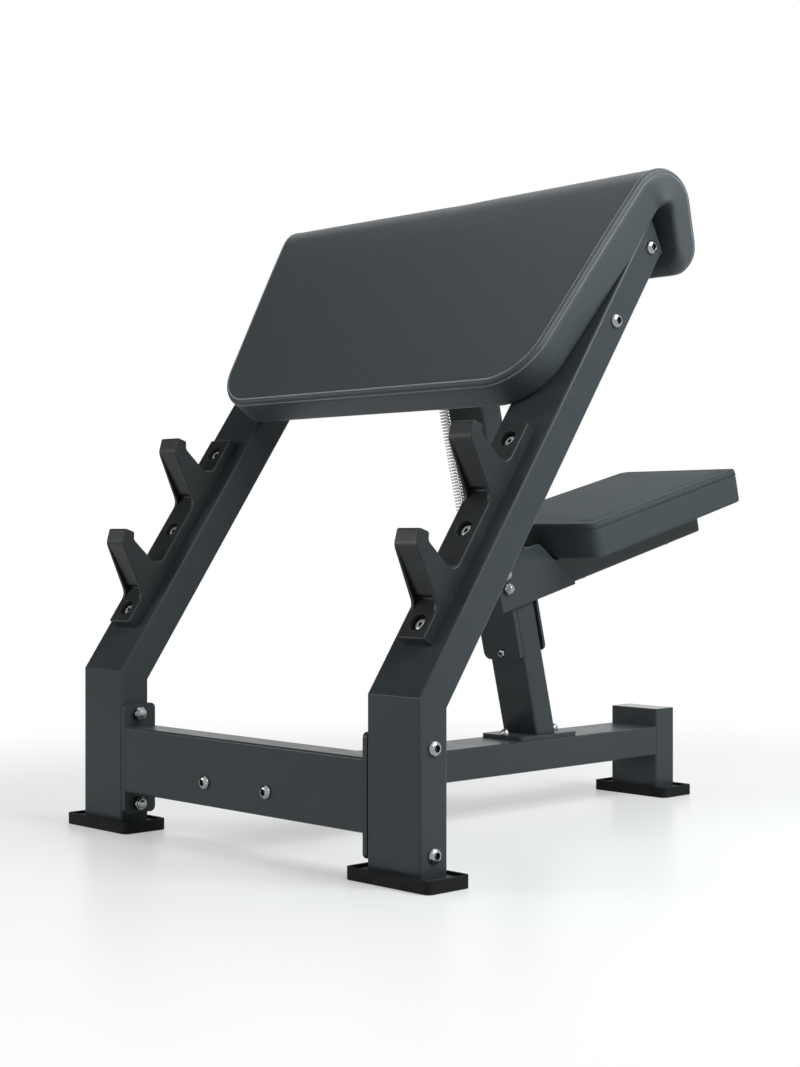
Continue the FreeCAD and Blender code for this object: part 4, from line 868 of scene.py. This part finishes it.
class Catch:
    """Closed skin of a catch, row by row across its width."""

    def __init__(self):
        self.points = []
        self.faces = []
        first, second = (hook_lines(start) for start in HOOK_STARTS)
        flat = CATCH_BASE
        low_end = corner_arc((CATCH_START, 0), (CATCH_START, flat), (CATCH_END, flat), CATCH_EDGE)
        high_end = corner_arc((CATCH_START, flat), (CATCH_END, flat), (CATCH_END, 0), CATCH_EDGE)
        spans = [[(bore - BORE_MARGIN, flat), (bore + BORE_MARGIN, flat)] for bore in BORES[1:]]
        near = (BORES[0] - first.foot[0] + BORES[0], flat)
        shared = [[(CATCH_START, 0.0)] + low_end + [near, first.foot],
                  first.rest + spans[0] + [second.foot],
                  second.rest + spans[1] + high_end + [(CATCH_END, 0.0)]]
        rib_loop = shared[0] + first.rib + shared[1] + second.rib + shared[2]
        inner_loop = shared[0] + first.inner + shared[1] + second.inner + shared[2]
        self.cells = [(near, first.foot), tuple(spans[0]), tuple(spans[1])]
        wall = CATCH_HALF - RIB_WIDE
        sides = []
        for angle in np.radians(RIM_TURNS):
            across = CATCH_HALF - CATCH_EDGE * (1 - math.sin(angle))
            sides.append((across, inset_loop(rib_loop, CATCH_EDGE * (1 - math.cos(angle)))))
        sides.append((wall + RIB_EDGE, rib_loop))
        left = [self.row(-across, loop) for across, loop in sides]
        inner = [self.row(-wall, inner_loop), self.row(wall, inner_loop)]
        right = [self.row(across, loop) for across, loop in reversed(sides)]
        count = len(rib_loop)
        self.faces.append(tuple(left[0] + index for index in range(count)))
        self.faces.append(tuple(right[-1] + index for index in reversed(range(count))))
        for rows in (left, right):
            for before, after in zip(rows, rows[1:]):
                self.strip(range(before, before + count), range(after, after + count), True)
        parts = ((shared[0], first), (shared[1], second), (shared[2], None))
        self.join(left[-1], inner[0], parts, -wall)
        self.join(right[0], inner[1], parts, wall)
        self.front(inner, inner_loop)
        self.taper()

    def taper(self):
        """Hooks narrow evenly from the base to the tip."""
        for index, (across, along, out) in enumerate(self.points):
            rise = max(0.0, out - CATCH_BASE) / TIP[1]
            self.points[index] = (across * (1 - HOOK_TAPER * rise), along, out)

    def row(self, across, loop):
        start = len(self.points)
        self.points.extend((across, along, out) for along, out in loop)
        return start

    def strip(self, before, after, closed=False):
        """Faces between two rows of as many points, of which the second lies further across."""
        for index in range(len(before) - (0 if closed else 1)):
            following = (index + 1) % len(before)
            self.faces.append((before[index], after[index], after[following], before[following]))

    def level(self, rib_line, inner_line, across):
        """Strip between a rib's line and an inner line, on the left or on the right."""
        if across < 0:
            self.strip(rib_line, inner_line)
        else:
            self.strip(inner_line, rib_line)

    def join(self, rib_row, inner_row, parts, across):
        """Faces between a rib and the recessed front.

        They are level strips and, at each hook, a broken edge and the rib's inner wall.
        """
        rib_at, inner_at = rib_row, inner_row
        for line, hook in parts:
            rib_line = range(rib_at, rib_at + len(line))
            inner_line = range(inner_at, inner_at + len(line))
            rib_at += len(line)
            inner_at += len(line)
            self.level(rib_line, inner_line, across)
            if hook is None:
                continue
            rib = np.array([hook.foot] + hook.rib + [hook.rest[0]])
            far = np.linalg.norm(rib - rib[-1], axis=1) / (2 * VALLEY_RADIUS)
            share = np.clip(np.minimum((rib[:, 1] - CATCH_BASE) / RIB_WIDE, far), 0, 1)
            ahead = unit(np.gradient(rib, axis=0))
            drawn = rib + np.stack([ahead[:, 1], -ahead[:, 0]], 1) * (RIB_EDGE * share)[:, None]
            edge = self.row(across, drawn[1:-1])
            rib_end = rib_at + len(hook.rib)
            inner_end = inner_at + len(hook.inner)
            edge_line = [inner_line[-1], *range(edge, edge + len(hook.rib)), inner_end]
            self.level([rib_line[-1], *range(rib_at, rib_end + 1)], edge_line, across)
            wall = edge_line + list(reversed(range(inner_at, inner_end)))
            self.faces.append(tuple(wall if across > 0 else wall[::-1]))
            rib_at, inner_at = rib_end, inner_end
        self.level([rib_at - 1, rib_row], [inner_at - 1, inner_row], across)

    def front(self, rows, loop):
        """Recessed front, base and back across the middle, with a bore at each bolt."""
        count = len(loop)
        for index in range(count):
            following = (index + 1) % count
            corners = (rows[0] + index, rows[1] + index, rows[1] + following, rows[0] + following)
            cell = (loop[index], loop[following])
            if cell in self.cells:
                self.bore(corners, BORES[self.cells.index(cell)])
            else:
                self.faces.append(corners)

    def bore(self, corners, along):
        """Counterbore with a rounded rim, inside a four-cornered cell."""
        start = len(self.points)
        quarter = ROUND_STEPS // 4
        for side in range(4):
            first = (5 * quarter // 2 + side * quarter) % ROUND_STEPS
            arc = [start + (first + step) % ROUND_STEPS for step in range(quarter, -1, -1)]
            self.faces.append((corners[side], corners[(side + 1) % 4], *arc))
        levels = []
        for angle in np.radians(BORE_TURNS):
            levels.append((BORE_RADIUS + BORE_RIM * (1 - math.sin(angle)),
                           CATCH_BASE - BORE_RIM * (1 - math.cos(angle))))
        levels.append((BORE_RADIUS, CATCH_BASE - BORE_DEPTH))
        rings = [[(x, along + y, z) for x, y, z in circle(radius, level)] for radius, level in levels]
        skin(rings, self.points, self.faces, closed_start=False)


catch_shape = Catch()
for side in ("left", "right"):
    low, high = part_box(side + "_bar_catch")
    middle = ((low.x + high.x) / 2, 0, 0)
    points = moved(SLOPE, np.array(catch_shape.points) * MM + middle)
    moulding = make_piece(side + "_catch_moulding", points, catch_shape.faces, materials["catch_plastic"])
    moulding.modifiers.new("even_normals", "WEIGHTED_NORMAL").keep_sharp = True
    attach(moulding, "frame")
    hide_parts(side + "_bar_catch")


# Lift spring: sizes in the post frame, in millimetres

COIL_SIDE = -25.0
COIL_OUT = -21.0
COIL_RADIUS = 6.5
COIL_LOW = 291.0
COIL_HIGH = 575.0
COIL_TURNS = 57
COIL_STEPS = 16
WIRE_RADIUS = 1.4
WIRE_SIDES = 8
WIRE_BEND = 3.0
WIRE_BEND_SHARES = (0.35, 0.7, 1.0)
WIRE_LEG_SHARES = (0.25, 0.5, 0.75, 1.0)
WIRE_LOOP_STEPS = 10
PIN_LEVEL = 590.05
BOLT_LEVEL = 276.0
# Any direction that doesn't lie along the wire's start
SIDE_HINT = (0.3, 0.9, 0.2)


def end_hook(level, end, direction):
    """From the coil's end a bend and a straight stretch to the pin, half a turn round it, and a short end."""
    side = COIL_SIDE - direction * WIRE_BEND
    front = COIL_OUT + COIL_RADIUS
    bent = end + direction * WIRE_BEND
    points = []
    for share in WIRE_BEND_SHARES:
        angle = share * math.pi / 2
        points.append((COIL_SIDE - direction * WIRE_BEND * math.sin(angle), front,
                       end + direction * WIRE_BEND * (1 - math.cos(angle))))
    for share in WIRE_LEG_SHARES:
        points.append((side, front, bent + (level - bent) * share))
    for step in range(1, WIRE_LOOP_STEPS + 1):
        angle = math.pi * step / WIRE_LOOP_STEPS
        points.append((side, COIL_OUT + COIL_RADIUS * math.cos(angle),
                       level + direction * COIL_RADIUS * math.sin(angle)))
    points.append((side, COIL_OUT - COIL_RADIUS, level - direction * 2 * WIRE_RADIUS))
    return points


def tube(path, radius, sides):
    """Round wire along a path, with its frame carried on from point to point."""
    path = np.asarray(path, float)
    headings = unit(np.gradient(path, axis=0))
    side = np.cross(headings[0], SIDE_HINT)
    rings = []
    for place, ahead in zip(path, headings):
        side = unit(side - ahead * side.dot(ahead))
        over = np.cross(ahead, side)
        rings.append([place + radius * (side * math.cos(angle) + over * math.sin(angle))
                      for angle in full_turn(sides)])
    points, faces = [], []
    skin(rings, points, faces)
    return points, faces


coil = []
for step in range(COIL_TURNS * COIL_STEPS + 1):
    share = step / (COIL_TURNS * COIL_STEPS)
    angle = 2 * math.pi * step / COIL_STEPS
    coil.append((COIL_SIDE - COIL_RADIUS * math.sin(angle), COIL_OUT + COIL_RADIUS * math.cos(angle),
                 COIL_LOW + (COIL_HIGH - COIL_LOW) * share))
wire_path = end_hook(BOLT_LEVEL, COIL_LOW, -1)[::-1] + coil + end_hook(PIN_LEVEL, COIL_HIGH, 1)
wire_points, wire_faces = tube(wire_path, WIRE_RADIUS, WIRE_SIDES)
spring = make_piece("lift_spring_coil", moved(POST, np.array(wire_points) * MM), wire_faces, spring_steel,
                    ROUND_SMOOTH)
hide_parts("lift_spring")
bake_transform(spring)


# Fasteners

HEAD_SHARE = 0.97
# Side of a button head: radius and level
BUTTON_SHARES = ((0.96, 0.0), (1.0, 0.05), (1.0, 0.17), (0.975, 0.34), (0.92, 0.52), (0.83, 0.7),
                 (0.71, 0.86), (0.58, 0.96), (0.52, 1.0))
# Hexagon socket: half width and level
SOCKET_SHARE = 0.44
SOCKET_SHARES = ((1.06, 1.0), (1.0, 0.96), (1.0, 0.3))
LOW_HEAD_RADIUS = 11.2
LOW_HEAD_HEIGHT = 5.4
LOW_SOCKET_SHARE = 0.28
# Thread: radius, and place within a turn
THREAD_LONG = 26.0
PITCH_SHARE = 0.29
SHANK_SHARE = 0.94
SHANK_END_SHARE = 0.8
THREAD_SHARES = ((0.99, 0.3), (0.99, 0.42), (0.88, 0.86))
# Lock nut: level and limiting radius of its hexagon, radius and level of its collar, levels of its bore
NUT_FLAT_SHARES = ((0.0, 1.03), (0.06, 1.12), (0.62, 1.12), (0.7, 1.0))
NUT_COLLAR_SHARES = ((0.9, 0.72), (0.9, 0.9), (0.84, 0.98), (0.76, 1.0))
NUT_BORE_SHARE = 0.86
NUT_BORE_SHARES = (1.0, 0.5, 0.0)


def islands(node, placement):
    """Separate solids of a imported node, as point arrays in a local frame."""
    mesh = nodes[node].data
    points = read_points(mesh)
    keys = {}
    owner = [keys.setdefault(tuple(point), len(keys)) for point in np.round(points, 6)]
    parent = list(range(len(keys)))

    def root(index):
        while parent[index] != index:
            parent[index] = parent[parent[index]]
            index = parent[index]
        return index

    for polygon in mesh.polygons:
        first = root(owner[polygon.vertices[0]])
        for vertex in polygon.vertices[1:]:
            parent[root(owner[vertex])] = first
    groups = {}
    for index, key in enumerate(owner):
        groups.setdefault(root(key), []).append(index)
    return [local(placement, points[group]) for group in groups.values()]


class Fastener:
    """Axis and sizes of one bolt or nut, read from its solid."""

    def __init__(self, points, axis):
        others = [index for index in range(3) if index != axis]
        self.axis = axis
        self.middle = (points.min(0) + points.max(0)) / 2
        spokes = np.linalg.norm(points[:, others] - self.middle[others], axis=1)
        along = points[:, axis]
        self.radius = spokes.max()
        self.shank_radius = spokes.min()
        head = along[spokes > HEAD_SHARE * self.radius]
        self.sign = 1 if (head.min() + head.max()) / 2 >= self.middle[axis] else -1
        self.base = head.min() if self.sign > 0 else head.max()
        self.head_height = head.max() - head.min()
        self.length = along.max() - along.min() - self.head_height

    def matrix(self, placement):
        base = self.middle.copy()
        base[self.axis] = self.base
        direction = Vector((0, 0, 0))
        direction[self.axis] = self.sign
        turn = Vector((0, 0, 1)).rotation_difference(direction).to_matrix().to_4x4()
        return placement @ Matrix.Translation(Vector(base)) @ turn


def hexagon(half_flats, height, limit=math.inf):
    """Ring on a hexagon's outline, drawn in to a circle where a limit is given."""
    ring = []
    for angle in full_turn(ROUND_STEPS):
        off = (angle + math.pi / 6) % (math.pi / 3) - math.pi / 6
        radius = min(half_flats / math.cos(off), limit)
        ring.append((radius * math.cos(angle), radius * math.sin(angle), height))
    return ring


def bolt(item, socket_share=SOCKET_SHARE):
    """Rounded head with a hexagon socket whose lower wall and floor carry painted shade, and a threaded
    shank.
    """
    radius, height, shank = item.radius, item.head_height, item.shank_radius
    socket = radius * socket_share
    rings = [circle(radius * share, height * level) for share, level in BUTTON_SHARES]
    rings += [hexagon(socket * share, height * level) for share, level in SOCKET_SHARES]
    points, faces = [], []
    skin(rings, points, faces)
    # The socket's lower wall and floor take the painted shade material
    dark = range(len(faces) - ROUND_STEPS, len(faces))
    pitch = shank * PITCH_SHARE
    turns = int(min(item.length, THREAD_LONG * MM) / pitch)
    plain = item.length - turns * pitch
    levels = [(SHANK_SHARE, 0.0), (SHANK_SHARE, -plain)]
    for turn in range(turns):
        levels += [(share, -plain - (turn + along) * pitch) for share, along in THREAD_SHARES]
    levels.append((SHANK_END_SHARE, -item.length))
    skin([circle(shank * share, level)[::-1] for share, level in levels], points, faces)
    return points, faces, dark


def low_screw(item):
    """Bolt with a wide, low head and a small socket."""
    item.radius = LOW_HEAD_RADIUS * MM
    item.head_height = LOW_HEAD_HEIGHT * MM
    return bolt(item, LOW_SOCKET_SHARE)


def lock_nut(item):
    """Chamfered hexagon with a round collar at its top."""
    half = item.radius * math.cos(math.pi / 6)
    height = item.head_height
    bore = item.shank_radius * NUT_BORE_SHARE
    rings = [circle(bore, 0.0)]
    rings += [hexagon(half, height * level, half * limit) for level, limit in NUT_FLAT_SHARES]
    rings += [circle(half * share, height * level) for share, level in NUT_COLLAR_SHARES]
    rings += [circle(bore, height * level) for level in NUT_BORE_SHARES]
    points, faces = [], []
    skin(rings, points, faces, closed_start=False, closed_end=False)
    return points, faces, ()


def gather(name, node, placement, axis, body, shape, metal=materials["bright_steel"]):
    """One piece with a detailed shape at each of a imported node's solids."""
    points, faces, dark = [], [], []
    for solid in islands(node, placement):
        item = Fastener(solid, axis)
        item_points, item_faces, item_painted_shade = shape(item)
        matrix = item.matrix(placement)
        base = len(points)
        dark.extend(len(faces) + index for index in item_painted_shade)
        points.extend(tuple(matrix @ Vector(point)) for point in item_points)
        faces.extend(tuple(base + index for index in face) for face in item_faces)
    piece = make_piece(name, points, faces, metal, FASTENER_SMOOTH)
    # Second material slot: painted shade on the socket faces listed in dark
    piece.data.materials.append(painted_socket_shade)
    for index in dark:
        piece.data.polygons[index].material_index = 1
    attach(piece, body)
    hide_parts(node)


X, Y, Z = 0, 1, 2
gather("frame_bolt_heads", "frame_bolts", BENCH, X, "frame", bolt)
gather("frame_lock_nuts", "frame_nuts", BENCH, X, "frame", lock_nut)
gather("rail_bolt_heads", "rail_bolts", BENCH, Y, "frame", bolt)
gather("rail_lock_nuts", "rail_nuts", BENCH, Y, "frame", lock_nut)
gather("catch_screws", "catch_bolts", SLOPE, Z, "frame", low_screw, screw_zinc)
gather("post_base_screws", "post_base_bolts", BENCH, Z, "frame", bolt)
gather("post_top_screws", "post_top_bolts", SLOPE, Z, "frame", bolt)
gather("pad_screw_heads", "pad_screws", SLOPE, Z, "frame", bolt)
gather("spring_pin_head", "spring_pin", POST, X, "frame", bolt)
gather("spring_pin_lock_nut", "spring_pin_nut", POST, X, "frame", lock_nut)
gather("cross_bolt_heads", "cross_bolts", POST, X, "seat_carriage", bolt)
gather("cross_lock_nuts", "cross_nuts", POST, X, "seat_carriage", lock_nut)
gather("front_liner_screw_head", "front_liner_screw", POST, Y, "seat_carriage", bolt)
gather("rear_liner_screw_head", "rear_liner_screw", POST, Y, "seat_carriage", bolt)
gather("seat_screw_heads", "seat_bolts", POST, Z, "seat_carriage", bolt)

for name, item in nodes.items():
    if not item.hide_render:
        break_edges(item, BOOT_EDGE if name in BOOTS else PLAIN_EDGE)


# Floor, dark card, world and lights

FLOOR_HALF = 40.0
FLOOR_SINK = 0.0005
FLOOR_CLEAR = 0.5
FLOOR_WHITE = 1.7
FLOOR_LIFT = 0.35
CARD_FOOT_X = -2.6
CARD_TOP_X = -2.2
CARD_NEAR_Y = -4.2
CARD_FAR_Y = 0.4
CARD_HEIGHT = 3.4
COOL_WHITE = (0.95, 0.99, 1.0)


def combine(tree, operation, first, second):
    node = tree.nodes.new("ShaderNodeMath")
    node.operation = operation
    tree.links.new(first, node.inputs[0])
    tree.links.new(second, node.inputs[1])
    return node.outputs["Value"]


def background_rays(tree):
    """One for the rays that meet a white background: from the camera, mirrored, or through a clear body."""
    rays = tree.nodes.new("ShaderNodeLightPath").outputs
    result = combine(tree, "MAXIMUM", rays["Is Camera Ray"], rays["Is Glossy Ray"])
    return combine(tree, "MAXIMUM", result, rays["Is Transmission Ray"])


def mix_surface(tree, share, first, second, output):
    """Send a mix of two shaders to the surface of an output node."""
    mix = tree.nodes.new("ShaderNodeMixShader")
    tree.links.new(share, mix.inputs["Fac"])
    tree.links.new(first, mix.inputs[1])
    tree.links.new(second, mix.inputs[2])
    tree.links.new(mix.outputs["Shader"], tree.nodes[output].inputs["Surface"])


def make_floor():
    """Pale floor that takes shadows near the bench and fades to white further away."""
    floor = Shader("pale_floor")
    floor.done(Base_Color=(0.8, 0.81, 0.815, 1), Roughness=0.3, Specular_IOR_Level=0.25)
    white = floor.add("ShaderNodeEmission", Strength=1.0)
    distance = floor.add("ShaderNodeVectorMath")
    distance.operation = "LENGTH"
    floor.tree.links.new(floor.place, distance.inputs[0])
    far = floor.add("ShaderNodeMapRange", Value=distance.outputs["Value"], From_Min=FLOOR_CLEAR,
                    From_Max=FLOOR_WHITE, To_Min=FLOOR_LIFT)
    far.interpolation_type = "SMOOTHSTEP"
    seen = combine(floor.tree, "MULTIPLY", far.outputs["Result"], background_rays(floor.tree))
    mix_surface(floor.tree, seen, floor.main.outputs["BSDF"], white.outputs["Emission"], "Material Output")
    corners = ((-1, -1), (1, -1), (1, 1), (-1, 1))
    points = [(x * FLOOR_HALF, y * FLOOR_HALF, 0) for x, y in corners]
    piece = make_piece("floor", points, [(0, 1, 2, 3)], floor.material)
    piece.location = (0, 0, -FLOOR_SINK)


def make_dark_card():
    """Dark side card on the left, out of the picture, so that front faces stay darker than right ones."""
    card = Shader("dark_card")
    card.done(Base_Color=(0.02, 0.021, 0.022, 1), Roughness=0.8, Specular_IOR_Level=0.1)
    points = [(CARD_FOOT_X, CARD_NEAR_Y, 0), (CARD_FOOT_X, CARD_FAR_Y, 0),
              (CARD_TOP_X, CARD_FAR_Y, CARD_HEIGHT), (CARD_TOP_X, CARD_NEAR_Y, CARD_HEIGHT)]
    piece = make_piece("dark_card", points, [(0, 1, 2, 3)], card.material)
    piece.visible_camera = False


def make_world():
    """Dim world for the light it gives, white where it is seen."""
    world = bpy.data.worlds.new("studio")
    scene.world = world
    world.use_nodes = True
    tree = world.node_tree
    dim = tree.nodes["Background"]
    plug(tree, dim, {"Color": (0.94, 0.97, 1.0, 1), "Strength": 0.1})
    white = tree.nodes.new("ShaderNodeBackground")
    plug(tree, white, {"Color": (1, 1, 1, 1), "Strength": 1.0})
    mix_surface(tree, background_rays(tree), dim.outputs["Background"], white.outputs["Background"],
                "World Output")


def make_light(name, place, target, size, power, colour=(1, 1, 1)):
    """Rectangular lamp that faces a target; its size is its width and its height."""
    data = bpy.data.lights.new(name, "AREA")
    data.shape = "RECTANGLE"
    data.size, data.size_y = size
    data.energy = power
    data.color = colour
    lamp = bpy.data.objects.new(name, data)
    lamp.location = place
    lamp.rotation_euler = (Vector(target) - Vector(place)).to_track_quat("-Z", "Y").to_euler()
    scene.collection.objects.link(lamp)


make_floor()
make_dark_card()
make_world()
make_light("right_panel", place=(2.0, 0.25, 2.0), target=(0.3, 0.0, 0.5), size=(1.4, 1.4), power=72,
           colour=COOL_WHITE)
make_light("ceiling_panel", place=(0.2, 0.9, 3.2), target=(0, 0.1, 0.2), size=(2.8, 2.8), power=34)
make_light("front_panel", place=(-1.4, -2.0, 0.9), target=(-0.1, -0.2, 0.6), size=(1.0, 1.0), power=18)
make_light("edge_panel", place=(2.2, -1.0, 1.7), target=(0.3, -0.3, 0.5), size=(0.5, 0.5), power=10)
make_light("low_strip", place=(-2.0, -2.85, 0.8), target=(0.2, -0.3, 0.5), size=(1.6, 0.3), power=9)
